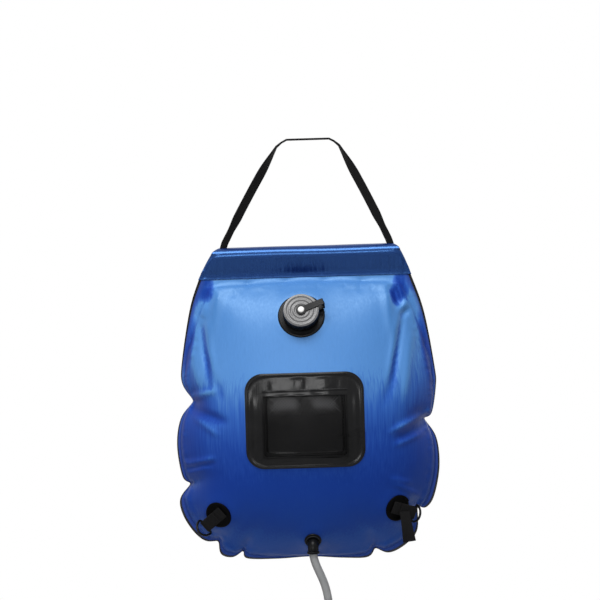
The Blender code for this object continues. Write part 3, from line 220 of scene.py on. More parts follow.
def new_material(name, colour, roughness, metallic=0.0, specular=0.5):
    made = bpy.data.materials.new(name)
    made.use_nodes = True
    shader = made.node_tree.nodes["Principled BSDF"]
    shader.inputs["Base Color"].default_value = (*colour, 1)
    shader.inputs["Roughness"].default_value = roughness
    shader.inputs["Metallic"].default_value = metallic
    shader.inputs["Specular IOR Level"].default_value = specular
    return made, made.node_tree, shader


def coordinates(tree, scale=(1, 1, 1)):
    place = tree.nodes.new("ShaderNodeTexCoord")
    mapping = tree.nodes.new("ShaderNodeMapping")
    mapping.inputs["Scale"].default_value = scale
    tree.links.new(place.outputs["Object"], mapping.inputs["Vector"])
    return mapping.outputs["Vector"]


def noise_value(tree, scale, vector, detail=4.0):
    made = tree.nodes.new("ShaderNodeTexNoise")
    made.inputs["Scale"].default_value = scale
    made.inputs["Detail"].default_value = detail
    tree.links.new(vector, made.inputs["Vector"])
    return made.outputs["Fac"]


def ramp(tree, value, stops):
    made = tree.nodes.new("ShaderNodeValToRGB")
    tree.links.new(value, made.inputs["Fac"])
    bar = made.color_ramp
    while len(bar.elements) < len(stops):
        bar.elements.new(0.5)
    for element, (position, colour) in zip(bar.elements, stops):
        element.position = position
        element.color = (*colour, 1)
    return made.outputs["Color"]


def spread(tree, value, low, high, start=0.0, end=1.0):
    made = tree.nodes.new("ShaderNodeMapRange")
    made.inputs["From Min"].default_value = start
    made.inputs["From Max"].default_value = end
    made.inputs["To Min"].default_value = low
    made.inputs["To Max"].default_value = high
    tree.links.new(value, made.inputs["Value"])
    return made.outputs["Result"]


def combine(tree, operation, *values):
    total = values[0]
    for value in values[1:]:
        made = tree.nodes.new("ShaderNodeMath")
        made.operation = operation
        tree.links.new(total, made.inputs[0])
        tree.links.new(value, made.inputs[1])
        total = made.outputs[0]
    return total


def mix_colour(tree, value, first, colour):
    made = tree.nodes.new("ShaderNodeMix")
    made.data_type = "RGBA"
    made.inputs["B"].default_value = (*colour, 1)
    tree.links.new(value, made.inputs["Factor"])
    tree.links.new(first, made.inputs["A"])
    return made.outputs["Result"]


def point_value(tree, name):
    """A value that the mesh keeps at its points."""
    made = tree.nodes.new("ShaderNodeAttribute")
    made.attribute_name = name
    return made.outputs["Fac"]


def bump(tree, shader, height, distance, strength=1.0):
    made = tree.nodes.new("ShaderNodeBump")
    made.inputs["Distance"].default_value = distance
    made.inputs["Strength"].default_value = strength
    tree.links.new(height, made.inputs["Height"])
    tree.links.new(made.outputs["Normal"], shader.inputs["Normal"])


def height_value(tree):
    """The object's own Z, from 0 at the bag's foot to 1 under its sleeve."""
    place = tree.nodes.new("ShaderNodeTexCoord")
    split = tree.nodes.new("ShaderNodeSeparateXYZ")
    tree.links.new(place.outputs["Object"], split.inputs[0])
    return spread(tree, split.outputs["Z"], 0, 1, -TOP - HEIGHT, -TOP - SLEEVE_HEIGHT)


def blue_film(name="blue_film", stops=((0.00, (0.0110, 0.050, 0.265)),
                                       (0.10, (0.0085, 0.034, 0.225)),
                                       (0.30, (0.0055, 0.027, 0.220)),
                                       (0.43, (0.0080, 0.042, 0.275)),
                                       (0.56, (0.0210, 0.090, 0.380)),
                                       (0.68, (0.0640, 0.196, 0.480)),
                                       (1.00, (0.0450, 0.156, 0.395))), gloss=0.5,
              tint=None, rough=(0.34, 0.50)):
    """Satin laminated film with fine upright streaks; its colour is painted light, lighter on the
    upper sheet and darkest low down, plus painted shade and highlight from the sheet's shade
    value.
    """
    made, tree, shader = new_material(name, (0.03, 0.12, 0.5), 0.34, 0, gloss)
    streaks = noise_value(tree, 1, coordinates(tree, (420, 420, 12)), 3)
    broad = noise_value(tree, 9, coordinates(tree), 3)
    tone = combine(tree, "ADD", spread(tree, streaks, -0.120, 0.120),
                   spread(tree, broad, -0.04, 0.04))
    # Painted light: colour and gloss tint follow the height up the sheet, the film's own streaks
    # and tone, and the painted shade and highlight of the shade value
    streaks_and_painted_light = combine(tree, "ADD", height_value(tree), tone, point_value(tree, "shade"))
    share = spread(tree, point_value(tree, "band"), 0, 0.75)
    colour = mix_colour(tree, share, ramp(tree, streaks_and_painted_light, stops), (0.026, 0.042, 0.20))
    tree.links.new(colour, shader.inputs["Base Color"])
    if tint:
        shader.inputs["Specular Tint"].default_value = (*tint, 1)
    else:
        tree.links.new(ramp(tree, streaks_and_painted_light, ((0.30, (0.12, 0.40, 1.0)), (0.75, (0.50, 0.76, 1.0)))),
                       shader.inputs["Specular Tint"])
    worn = spread(tree, combine(tree, "ADD", streaks, broad), *rough, 0.6, 1.4)
    tree.links.new(worn, shader.inputs["Roughness"])
    weave = noise_value(tree, 1, coordinates(tree, (900, 900, 60)), 2)
    waves = noise_value(tree, 1, coordinates(tree, (150, 150, 7)), 3)
    height = combine(tree, "ADD", spread(tree, weave, 0, 0.2), waves)
    bump(tree, shader, height, 0.0006, 0.38)
    return made


def black_film(name="black_film", level=0.010, rough=(0.26, 0.46), specular=0.24, streak=0.0):
    made, tree, shader = new_material(name, (level, level, level * 1.15), 0.32, 0, specular)
    cloud = noise_value(tree, 38, coordinates(tree), 4)
    fine = noise_value(tree, 900, coordinates(tree), 2)
    colour = ramp(tree, cloud, ((0.3, (level * 0.8, level * 0.8, level * 0.9)),
                                (0.7, (level * 1.3, level * 1.28, level * 1.45))))
    tree.links.new(colour, shader.inputs["Base Color"])
    tree.links.new(spread(tree, cloud, *rough), shader.inputs["Roughness"])
    height = combine(tree, "ADD", cloud, spread(tree, fine, 0, 0.08))
    if streak:
        upright = noise_value(tree, 1, coordinates(tree, (120, 120, 10)), 3)
        height = combine(tree, "ADD", height, spread(tree, upright, 0, streak))
    bump(tree, shader, height, 0.0008, 0.35)
    return made


def moulded(name, colour, rough=0.42, grain=900, distance=0.00012, metallic=0.0, specular=0.5):
    made, tree, shader = new_material(name, colour, rough, metallic, specular)
    cloud = noise_value(tree, 60, coordinates(tree), 4)
    fine = noise_value(tree, grain, coordinates(tree), 3)
    dark = tuple(c * 0.82 for c in colour)
    light = tuple(min(1.0, c * 1.16) for c in colour)
    tree.links.new(ramp(tree, cloud, ((0.3, dark), (0.7, light))), shader.inputs["Base Color"])
    tree.links.new(spread(tree, cloud, rough - 0.07, rough + 0.08), shader.inputs["Roughness"])
    bump(tree, shader, fine, distance, 0.6)
    return made


def net_thread():
    """Net of fine plastic thread, its colour painted lighter in two patches near its top: a
    painted glint.
    """
    made = moulded("net_thread", (0.0012, 0.0012, 0.0014), 0.24, 2600, 0.00003, specular=0.09)
    tree = made.node_tree
    colour = tree.nodes["Principled BSDF"].inputs["Base Color"]
    plain = colour.links[0].from_socket
    bright = mix_colour(tree, point_value(tree, "painted_glint"), plain, (0.085, 0.085, 0.089))
    tree.links.new(bright, colour)
    return made


def webbing(name="webbing", colour=(0.0040, 0.0038, 0.0042), edge=(0.0014, 0.0014, 0.0014)):
    """Woven strap: U runs across it and V along it, both in metres."""
    made, tree, shader = new_material(name, colour, 0.78, 0, 0.10)
    uv = tree.nodes.new("ShaderNodeUVMap")
    split = tree.nodes.new("ShaderNodeSeparateXYZ")
    tree.links.new(uv.outputs["UV"], split.inputs[0])

    def wave(axis, per_metre):
        times = tree.nodes.new("ShaderNodeMath")
        times.operation = "MULTIPLY"
        times.inputs[1].default_value = per_metre * math.tau
        tree.links.new(split.outputs[axis], times.inputs[0])
        sine = tree.nodes.new("ShaderNodeMath")
        sine.operation = "SINE"
        tree.links.new(times.outputs[0], sine.inputs[0])
        return sine.outputs[0]

    grain = spread(tree, combine(tree, "MULTIPLY", wave("X", 480), wave("Y", 380)), 0, 1, -1)
    fuzz = noise_value(tree, 1400, coordinates(tree), 3)
    tone = combine(tree, "ADD", spread(tree, grain, 0, 0.6), spread(tree, fuzz, 0, 0.4))
    light = tuple(c * 1.9 for c in colour)
    tree.links.new(ramp(tree, tone, ((0.25, edge), (0.8, light))), shader.inputs["Base Color"])
    bump(tree, shader, tone, 0.0004, 0.8)
    shader.inputs["Sheen Weight"].default_value = 0.03
    shader.inputs["Sheen Roughness"].default_value = 0.5
    return made


def clear_tube(name="clear_tube"):
    """Soft clear plastic round a dim bore, clearest along its edges."""
    made, tree, shader = new_material(name, (0.5, 0.5, 0.5), 0.10)
    shader.inputs["IOR"].default_value = 1.42
    facing = tree.nodes.new("ShaderNodeLayerWeight")
    facing.inputs["Blend"].default_value = 0.5
    haze = noise_value(tree, 120, coordinates(tree), 3)
    colour = ramp(tree, haze, ((0.3, (0.26, 0.265, 0.27)), (0.7, (0.31, 0.315, 0.32))))
    tree.links.new(colour, shader.inputs["Base Color"])
    tree.links.new(spread(tree, facing.outputs["Facing"], 0.20, 0.60), shader.inputs[
        "Transmission Weight"])
    tree.links.new(spread(tree, haze, 0.06, 0.20), shader.inputs["Roughness"])
    return made


aim_camera()
build_stage()
light_scene()

BLUE = blue_film()
# The sleeve's film is a darker copy of the blue film: painted shade on its upright face
SHADED_SLEEVE_FILM = blue_film("sleeve_film", ((0.0, (0.0030, 0.012, 0.070)), (1.0, (0.0040, 0.015, 0.085))),
                   1.0, (0.16, 0.42, 1.0), (0.20, 0.30))
BLACK = black_film()
PATCH = black_film("patch_film", 0.0028, (0.16, 0.28), 0.16, 1.2)
FABRIC = black_film("pocket_film", 0.0007, (0.28, 0.42), 0.045)
ANCHOR = black_film("anchor_film", 0.0008, (0.32, 0.50), 0.03)
PLASTIC = moulded("black_plastic", (0.0030, 0.0032, 0.0036), 0.32, specular=0.09)
GREY = moulded("grey_plastic", (0.056, 0.056, 0.058), 0.30, metallic=0.05, specular=0.45)
PALE = moulded("pale_plastic", (0.72, 0.72, 0.71), 0.40)
RUBBER = moulded("rubber", (0.018, 0.018, 0.019), 0.62, specular=0.3)
STEEL = moulded("steel", (0.56, 0.57, 0.59), 0.30, 1800, 0.00004, 1.0)
NET = net_thread()
WEB = webbing()
HOSE = clear_tube()

# The CAD nodes that are shown as they are and aren't of black plastic
NODE_FINISH = {"stiffener_tube": PALE, "cap_gasket": RUBBER, "tap_spindle": PALE,
               "tap_lever": PALE, "lever_screw": STEEL, "rose_seal": RUBBER}
for name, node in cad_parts.items():
    node.data.materials.clear()
    node.data.materials.append(NODE_FINISH.get(name, PLASTIC))


# Making pieces

@contextmanager
def edited(mesh):
    """The mesh's faces and points while they are edited."""
    shape = bmesh.new()
    shape.from_mesh(mesh)
    yield shape
    shape.to_mesh(mesh)
    shape.free()


def add_piece(name, data, finish, body="bag", slot=None, smooth=None, replaces=()):
    made = bpy.data.objects.new(name, data)
    bpy.context.scene.collection.objects.link(made)
    if not data.materials:
        data.materials.append(finish)
    if smooth is not None:
        data.shade_smooth()
        if smooth < 180:
            data.set_sharp_from_angle(angle=math.radians(smooth))
    if body:
        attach(made, body)
    if replaces:
        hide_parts(*replaces)
    return made


def grid_mesh(name, rows, wrap_rows=False, wrap=False, caps=False, keep=None):
    """A mesh through rows of points; each row may close on itself, and so may the rows."""
    rows = np.asarray(rows, float)
    high, wide = rows.shape[:2]
    faces = []
    for r in range(high if wrap_rows else high - 1):
        for c in range(wide if wrap else wide - 1):
            if keep is not None and not keep[r][c]:
                continue
            s, d = (r + 1) % high, (c + 1) % wide
            faces.append((r * wide + c, r * wide + d, s * wide + d, s * wide + c))
    if caps:
        faces.append(tuple(range(wide))[::-1])
        faces.append(tuple((high - 1) * wide + c for c in range(wide)))
    mesh = bpy.data.meshes.new(name)
    mesh.from_pydata(rows.reshape(-1, 3).tolist(), [], faces)
    with edited(mesh) as shape:
        bmesh.ops.remove_doubles(shape, verts=shape.verts, dist=0.000002)
        loose = [v for v in shape.verts if not v.link_faces]
        bmesh.ops.delete(shape, geom=loose, context="VERTS")
        bmesh.ops.recalc_face_normals(shape, faces=shape.faces)
    return mesh


def frame_of(origin, x, y, z):
    return Matrix.Translation(origin) @ Matrix((x, y, z)).transposed().to_4x4()


FRAMES = {
    "filler": frame_of((-0.01691, -0.04374, -0.25567), (0.99992, -0.01152, 0.00528),
                       (0, 0.41708, 0.90887), (-0.01267, -0.90879, 0.41705)),
    "outlet": frame_of((-0.00971, -0.03126, -0.5822), (0.99998, -0.00545, -0.00433),
                       (0, -0.62195, 0.78305), (-0.00696, -0.78303, -0.62194)),
    "left_anchor": frame_of((-0.14572, -0.02769, -0.54179), (0.64942, 0.02568, -0.75999),
                            (0.64942, -0.53866, 0.53674), (-0.39559, -0.84213, -0.3665)),
    "right_anchor": frame_of((0.11501, -0.02747, -0.53922), (0.36226, -0.08995, 0.92773),
                             (-0.77687, -0.5791, 0.24721), (0.51501, -0.81028, -0.27966)),
    "left_ring": frame_of((-0.16482, -0.0184, -0.5578), (0.64942, 0.02568, -0.75999),
                          (0.45786, 0.78475, 0.41777), (0.60713, -0.61928, 0.49788)),
    "right_ring": frame_of((0.13809, -0.01695, -0.54722), (0.36226, -0.08995, 0.92773),
                           (-0.39416, 0.88717, 0.23993), (-0.84463, -0.45259, 0.28593)),
    "head": Matrix.Translation((-0.00579, 0.03105, -1.00129)),
}


def in_frame(key, points):
    points = np.asarray(points, float)
    turn = np.array(FRAMES[key])
    return points @ turn[:3, :3].T + turn[:3, 3]


def turned(name, key, profile, finish, steps=96, closed=True, smooth=35, **more):
    """A profile of (radius, height) points spun round a frame's own Z."""
    angle = np.linspace(0, math.tau, steps, endpoint=False)
    rows = [np.stack([r * np.cos(angle), r * np.sin(angle), np.full(steps, h)], 1)
            for r, h in profile]
    mesh = grid_mesh(name, in_frame(key, rows), wrap_rows=closed, wrap=True)
    return add_piece(name, mesh, finish, smooth=smooth, **more)


def round_corner(radius, height, size, start, steps=4):
    """Points round a corner of a profile; start is the way the first point faces, in degrees."""
    points = []
    for step in range(steps + 1):
        angle = math.radians(start - 90 * step / steps)
        points.append((radius + size * math.cos(angle), height + size * math.sin(angle)))
    return points


def tube_along(name, points, radii, sides=16, caps=True, closed=False):
    """A round tube through points, without twist."""
    points = [Vector(p) for p in points]
    last = len(points) - 1
    rows = []
    side = None
    for i, point in enumerate(points):
        if closed:
            ahead = points[(i + 1) % len(points)] - points[i - 1]
        else:
            ahead = points[min(i + 1, last)] - points[max(i - 1, 0)]
        ahead.normalize()
        if side is None:
            side = ahead.orthogonal()
        side = (side - ahead * side.dot(ahead)).normalized()
        over = ahead.cross(side)
        radius = radii[i] if hasattr(radii, "__len__") else radii
        rows.append([point + (side * math.cos(a) + over * math.sin(a)) * radius
                     for a in np.linspace(0, math.tau, sides, endpoint=False)])
    return grid_mesh(name, [[tuple(p) for p in row] for row in rows], wrap_rows=closed, wrap=True,
                     caps=caps and not closed)


def smooth_run(points, steps):
    ends = [points[0] * 2 - points[1]] + list(points) + [points[-1] * 2 - points[-2]]
    run = []
    for before, start, end, after in zip(ends, ends[1:], ends[2:], ends[3:]):
        for step in range(steps):
            t = step / steps
            bend = (before * 2 - start * 5 + end * 4 - after) * t * t
            twist = (start * 3 - before - end * 3 + after) * t * t * t
            run.append((start * 2 + (end - before) * t + bend + twist) / 2)
    run.append(points[-1])
    return run


# The hose

def hose_curve():
    mouth = Vector(HOSE_MOUTH)
    route = smooth_run([mouth + Vector(step) for step in HOSE_ROUTE], 6)
    curve = bpy.data.curves.new("hose_tube", "CURVE")
    curve.dimensions = "3D"
    spline = curve.splines.new("POLY")
    spline.points.add(len(route) - 1)
    for knot, point in zip(spline.points, route):
        knot.co = (*point, 1)
    curve.bevel_depth = HOSE_RADIUS
    curve.bevel_resolution = 7
    curve.use_fill_caps = True
    length = sum((b - a).length for a, b in zip(route, route[1:]))
    return curve, length


hose_data, hose_length = hose_curve()
hose = add_piece("hose_tube", hose_data, HOSE, slot="clear_plastic", replaces=["hose"])


# The bag's surface

def body_point(x_share, z_share):
    return Vector((x_share * WIDTH / 2, -TOP - z_share * HEIGHT))


def border_points(steps, top_steps):
    border = []
    for lobe in LOBES:
        border += smooth_run([body_point(*share) for share in lobe], steps)[:-1]
    last, first = body_point(*LOBES[-1][-1]), body_point(*LOBES[0][0])
    return border + [last.lerp(first, i / top_steps) for i in range(top_steps)]


CENTRE = body_point(0, CENTRE_SHARE)


def polar_tables():
    """Angle, radius and smoothed radius of the border round the centre, as the CAD has them."""
    arms = [point - CENTRE for point in border_points(2, 5)]
    radii = [arm.length for arm in arms]
    count = len(arms)
    soft = [sum(radii[(i + k) % count] for k in range(-9, 10)) / 19 for i in range(count)]
    angles = [math.atan2(arm.y, arm.x) % math.tau for arm in arms]
    rows = np.array(sorted(zip(angles, radii, soft)))
    angle = np.concatenate([rows[:, 0] + turn for turn in (-math.tau, 0, math.tau)])
    return angle, np.tile(rows[:, 1], 3), np.tile(rows[:, 2], 3)


TABLE_ANGLE, TABLE_RADIUS, TABLE_SOFT = polar_tables()
FINE = np.array([tuple(point) for point in border_points(12, 60)])


def soft_radius(angle):
    return np.interp(np.mod(angle, math.tau), TABLE_ANGLE, TABLE_SOFT)


def true_radius(angle):
    return np.interp(np.mod(angle, math.tau), TABLE_ANGLE, TABLE_RADIUS)


def edge_share(angle, radius):
    upright = np.maximum(0.0, np.sin(angle)) ** 2
    return 1 - (WELD + (TOP_TUCK - WELD) * upright) / radius


def share_at(x, z):
    """How far out points lie, 0 at the bulge's centre and 1 at the border."""
    dx, dz = x - CENTRE.x, z - CENTRE.y
    reach = np.hypot(dx, dz)
    angle = np.arctan2(dz, dx)
    soft, radius = soft_radius(angle), true_radius(angle)
    share = np.minimum(1.0, reach / soft)
    for _ in range(10):
        miss = share * (soft + (radius - soft) * share ** FADE) - reach
        share = share - miss / (soft + (FADE + 1) * (radius - soft) * share ** FADE)
    return share, edge_share(angle, radius)


def bulge(share, edge):
    return np.maximum(0.0, 1 - (share / edge) ** 2) ** POWER


def lean(z):
    return LEAN * np.maximum(0.0, -TOP - SLEEVE_HEIGHT - z)


def front_y(x, z):
    """The plain front sheet's inner face; x is the bag's own."""
    return lean(z) - GAP / 2 - FRONT_DEPTH * bulge(*share_at(x, z))


def front_normal(x, z):
    right = front_y(x + FILM, z) - front_y(x - FILM, z)
    up = front_y(x, z + FILM) - front_y(x, z - FILM)
    normal = np.stack([right, np.full_like(right, -2 * FILM), up], -1)
    return normal / np.linalg.norm(normal, axis=-1, keepdims=True)


def on_front(x, z, lift):
    """Points over the plain front sheet, from the bag's own X and Z, in the row frame."""
    x, z = np.broadcast_arrays(np.asarray(x, float), np.asarray(z, float))
    lift = np.broadcast_to(np.asarray(lift, float), x.shape)
    base = np.stack([x - HAND_SHIFT, front_y(x, z), z], -1)
    return base + front_normal(x, z) * (FILM + lift)[..., None]


def drape(key, across, along, lift):
    """Points over the front sheet under places in the plane of a fitting's frame."""
    turn = np.array(FRAMES[key])
    side, up, outward, place = turn[:3, 0], turn[:3, 1], turn[:3, 2], turn[:3, 3]
    across, along = np.broadcast_arrays(np.asarray(across, float), np.asarray(along, float))
    lift = np.broadcast_to(np.asarray(lift, float), across.shape)
    flat = place - outward * FILM + across[..., None] * side + along[..., None] * up
    depth = np.zeros(across.shape)
    for _ in range(8):
        point = flat - outward * depth[..., None]
        miss = point[..., 1] - front_y(point[..., 0] + HAND_SHIFT, point[..., 2])
        depth -= miss * abs(outward[1])
    steep = front_normal(point[..., 0] + HAND_SHIFT, point[..., 2]) @ outward
    return flat + outward * ((FILM + lift) / steep - depth)[..., None]


def smooth_step(value):
    t = np.clip(value, 0.0, 1.0)
    return t * t * (3 - 2 * t)


def plain_mask(x, z):
    """0 where a fitting sits on the sheet, 1 where the film is free to crease."""
    mask = np.ones_like(x)
    for (cx, cz), radius in ((FILLER, 0.0345), (OUTLET, 0.0135), (ANCHORS["left"], 0.0205),
                             (ANCHORS["right"], 0.0205)):
        mask *= smooth_step((np.hypot(x - cx, z - cz) - radius) / 0.014)
    dx = np.abs(x - POCKET[0]) - POCKET_SIZE[0] / 2 + 0.026
    dz = np.abs(z - POCKET[1]) - POCKET_SIZE[1] / 2 + 0.026
    outside = np.hypot(np.maximum(dx, 0), np.maximum(dz, 0)) + np.minimum(np.maximum(dx, dz), 0)
    return mask * smooth_step((outside - 0.026 - 0.0005) / 0.014)


def fold(x, z, start, end, width, height, tilt=0.0):
    """A ridge or a valley between two places in the photograph."""
    ax, az = from_photo(*start)
    bx, bz = from_photo(*end)
    dx, dz = bx - ax, bz - az
    length = math.hypot(dx, dz)
    t = ((x - ax) * dx + (z - az) * dz) / length ** 2
    off = ((x - ax) * -dz + (z - az) * dx) / length
    fade = smooth_step((t + 0.25) / 0.5) * smooth_step((1.25 - t) / 0.5)
    across = off / (width * PIXEL)
    return height * fade * np.exp(-across ** 2) * (1 + tilt * np.tanh(across * 2))


FOLDS = (
    # start, end, width in pixels, height in metres, tilt
    ((213, 280), (204, 306), 4.5, -0.0085, 0.3),
    ((219, 286), (212, 335), 5, 0.0036, 0.0),
    ((197, 303), (207, 305), 3, 0.0034, 0.0),
    ((200, 314), (207, 309), 2.6, 0.0034, 0.0),
    ((198, 312), (210, 385), 3.0, -0.0044, 0.2),
    ((207, 318), (215, 382), 3.2, 0.0034, 0.0),
    ((190, 340), (199, 388), 4.2, 0.0036, 0.0),
    ((205, 352), (222, 396), 3.2, -0.0026, 0.0),
    ((186, 399), (214, 390), 3.2, 0.0052, 0.0),
    ((189, 407), (224, 420), 4.4, -0.0050, 0.0),
    ((196, 417), (218, 433), 3.0, 0.0026, 0.0),
    ((391, 280), (400, 306), 4.5, -0.0090, -0.3),
    ((386, 286), (391, 335), 5, 0.0036, 0.0),
    ((412, 297), (399, 309), 2.8, 0.0056, 0.0),
    ((414, 306), (401, 316), 2.6, -0.0036, 0.0),
    ((403, 314), (391, 388), 3.0, -0.0044, -0.2),
    ((397, 316), (388, 378), 3.2, 0.0034, 0.0),
    ((411, 330), (404, 392), 4.2, 0.0036, 0.0),
    ((396, 350), (384, 398), 3.0, -0.0024, 0.0),
    ((394, 428), (434, 409), 2.8, 0.0058, 0.0),
    ((398, 436), (434, 421), 3.4, -0.0046, 0.0),
    ((396, 443), (420, 433), 2.6, 0.0028, 0.0),
    ((185, 464), (213, 457), 2.4, 0.0036, 0.0),
    ((184, 474), (207, 466), 2.2, 0.0032, 0.0),
    ((188, 469), (214, 462), 2.2, -0.0032, 0.0),
    ((396, 483), (421, 496), 2.4, 0.0042, 0.0),
    ((392, 477), (410, 482), 2.6, 0.0026, 0.0),
    ((396, 491), (420, 503), 2.8, -0.0032, 0.0),
    ((219, 541), (229, 528), 2.6, 0.0024, 0.0),
    ((244, 553), (250, 538), 2.6, -0.0028, 0.0),
    ((327, 550), (324, 534), 2.4, -0.0028, 0.0),
    ((376, 546), (370, 530), 2.8, -0.0030, 0.0),
)


# Painted shade where the film tucks under at the upper corners and down the sides: start and end,
# width in pixels, darkness
SHADES = (
    ((210, 266), (205, 300), 7.8, -0.66, 0.0),
    ((198, 262), (192, 305), 7.5, -0.50, 0.0),
    ((192, 302), (184, 362), 5.5, -0.46, 0.0),
    ((400, 264), (399, 300), 8.5, -0.68, 0.0),
    ((411, 262), (416, 292), 6.5, -0.50, 0.0),
    ((419, 302), (432, 376), 4.6, -0.40, 0.0),
)


def notch_creases(x, z, share, edge):
    """Creases that run in from each notch in the border."""
    angle = np.arctan2(z - CENTRE.y, x - CENTRE.x)
    total = np.zeros_like(angle)
    for lobe in LOBES[:-1]:
        notch = body_point(*lobe[-1]) - CENTRE
        direction = math.atan2(notch.y, notch.x)
        off = (np.mod(angle - direction + math.pi, math.tau) - math.pi) * notch.length
        inward = np.clip((edge - share) / 0.42, 0, 1)
        wide = 0.004 + 0.022 * inward
        total -= np.exp(-(off / wide) ** 2) * (1 - inward) ** 2 * smooth_step(inward * 9)
    return total


def loop_at(count, share_of):
    """Points round the bag, evenly spaced along the border, at a share of the way out."""
    closed = np.vstack([FINE, FINE[:1]])
    run = np.concatenate([[0], np.cumsum(np.hypot(*np.diff(closed, axis=0).T))])
    marks = np.linspace(0, run[-1], count, endpoint=False)
    arm_x = np.interp(marks, run, closed[:, 0]) - CENTRE.x
    arm_z = np.interp(marks, run, closed[:, 1]) - CENTRE.y
    radius = np.hypot(arm_x, arm_z)
    angle = np.arctan2(arm_z, arm_x)
    share = share_of(radius, edge_share(angle, radius))
    soft = soft_radius(angle)
    reach = share * (soft + (radius - soft) * share ** FADE)
    return np.stack([CENTRE.x + reach * arm_x / radius, CENTRE.y + reach * arm_z / radius], 1)


def sheet_plan(step, inset):
    """Flat points and triangles of one sheet: its border, the weld, and even points inside."""
    count = int(1.5 / step)
    loops = [loop_at(count, lambda r, e: 1 - inset / r),
             loop_at(count, lambda r, e: (1 - inset / r + e) / 2),
             loop_at(count, lambda r, e: e),
             loop_at(count, lambda r, e: e * 0.994),
             loop_at(count, lambda r, e: e * 0.980)]
    xs, zs = [], []
    for row, z in enumerate(np.arange(-TOP - HEIGHT, -TOP, step * 0.866)):
        x = np.arange(-WIDTH / 2, WIDTH / 2, step) + (row % 2) * step / 2
        xs.append(x)
        zs.append(np.full_like(x, z))
    x, z = np.concatenate(xs), np.concatenate(zs)
    reach = np.hypot(x - CENTRE.x, z - CENTRE.y)
    near = reach < true_radius(np.arctan2(z - CENTRE.y, x - CENTRE.x)) * 0.999
    share, edge = share_at(np.where(near, x, 0), np.where(near, z, CENTRE.y))
    keep = near & (share < edge * 0.980 - step * 0.6 / 0.2)
    flat = np.vstack(loops + [np.stack([x[keep], z[keep]], 1)])
    outer = list(range(count))
    made = delaunay_2d_cdt([Vector(p) for p in flat.tolist()], [], [outer], 1, 1e-7)
    points = np.array([tuple(p) for p in made[0]])
    return points, [tuple(face) for face in made[2]]


def evened(level, faces, weight, rounds):
    """Heights averaged with their neighbours, which takes the kinks out of the plain bulge."""
    ends = np.array([(face[i], face[i - 1]) for face in faces for i in range(3)])
    count = np.bincount(ends.ravel(), minlength=len(level))
    for _ in range(rounds):
        total = np.bincount(ends[:, 0], level[ends[:, 1]], len(level))
        total += np.bincount(ends[:, 1], level[ends[:, 0]], len(level))
        level = level + (total / np.maximum(count, 1) - level) * weight * 0.7
    return level


def sheet_object(name, depth, side, step, inset, finish, slot, node):
    points, faces = sheet_plan(step, inset)
    x, z = points[:, 0], points[:, 1]
    share, edge = share_at(x, z)
    share = np.minimum(share, 1.0)
    level = GAP / 2 + FILM + depth * bulge(share, edge)
    if side < 0:
        middle = np.array([points[list(face)].mean(0) for face in faces])
        holes = np.hypot(middle[:, 0] - FILLER[0], middle[:, 1] - FILLER[1]) < 0.0225
        holes |= np.hypot(middle[:, 0] - OUTLET[0], middle[:, 1] - OUTLET[1]) < 0.0075
        faces = [face for face, hole in zip(faces, holes) if not hole]
    free = smooth_step((edge - share) / 0.035)
    if side < 0:
        free = free * plain_mask(x, z)
    level = evened(level, faces, free * smooth_step((edge - share) / 0.10), 70)
    spots = np.stack([x - HAND_SHIFT, side * level + lean(z), z], 1)
    mesh = bpy.data.meshes.new(name)
    mesh.from_pydata(spots.tolist(), [], faces)
    with edited(mesh) as shape:
        shape.normal_update()
        outward = sum(face.normal.y * face.calc_area() for face in shape.faces)
        if outward * side < 0:
            bmesh.ops.reverse_faces(shape, faces=shape.faces)
    band = mesh.attributes.new("band", "FLOAT", "POINT")
    weld = 1 - WELD / true_radius(np.arctan2(z - CENTRE.y, x - CENTRE.x))
    band.data.foreach_set("value", smooth_step((share - weld) / 0.004 + 0.5))
    made = add_piece(name, mesh, finish, slot=slot, smooth=180, replaces=[node])
    return made, spots, free


def add_cloth(made, free, loose, frames, shrink, pressure):
    """Cloth that is blown up from inside, with spare film where it is loose."""
    group = made.vertex_groups.new(name="pin")
    for i, value in enumerate(1 - free):
        if value > 0.001:
            group.add([i], float(value), "REPLACE")
    spare = made.vertex_groups.new(name="spare")
    for i, value in enumerate(loose):
        spare.add([i], float(value), "REPLACE")
    cloth = made.modifiers.new("inflate", "CLOTH")
    facts = cloth.settings
    facts.quality = 6
    facts.mass = 0.12
    facts.tension_stiffness = 45
    facts.compression_stiffness = 45
    facts.shear_stiffness = 25
    facts.bending_stiffness = 0.25
    facts.air_damping = 2.5
    facts.use_pressure = True
    facts.uniform_pressure_force = pressure
    facts.vertex_group_shrink = "spare"
    facts.shrink_min = 0
    facts.shrink_max = shrink
    facts.vertex_group_mass = "pin"
    facts.effector_weights.gravity = 0
    cloth.collision_settings.use_collision = False
    cloth.point_cache.frame_start = 1
    cloth.point_cache.frame_end = frames


def mesh_points(mesh):
    points = np.empty(len(mesh.vertices) * 3)
    mesh.vertices.foreach_get("co", points)
    return points.reshape(-1, 3)


def settle_sheets(sheets, frames, cap):
    """Runs the simulation of all sheets at once and keeps each result on its mesh."""
    scene = bpy.context.scene
    for frame_number in range(1, frames + 1):
        scene.frame_set(frame_number)
    deps = bpy.context.evaluated_depsgraph_get()
    moved = []
    for made, start, free in sheets:
        points = mesh_points(made.evaluated_get(deps).data)
        step = points - start
        reach = np.linalg.norm(step, axis=1, keepdims=True)
        limit = cap * np.minimum(1, free * 3)[:, None]
        moved.append(start + step * np.minimum(1, limit / np.maximum(reach, 1e-9)))
    for (made, _, _), points in zip(sheets, moved):
        made.modifiers.clear()
        made.vertex_groups.clear()
        made.data.vertices.foreach_set("co", points.ravel())
        made.data.update()
    scene.frame_set(1)


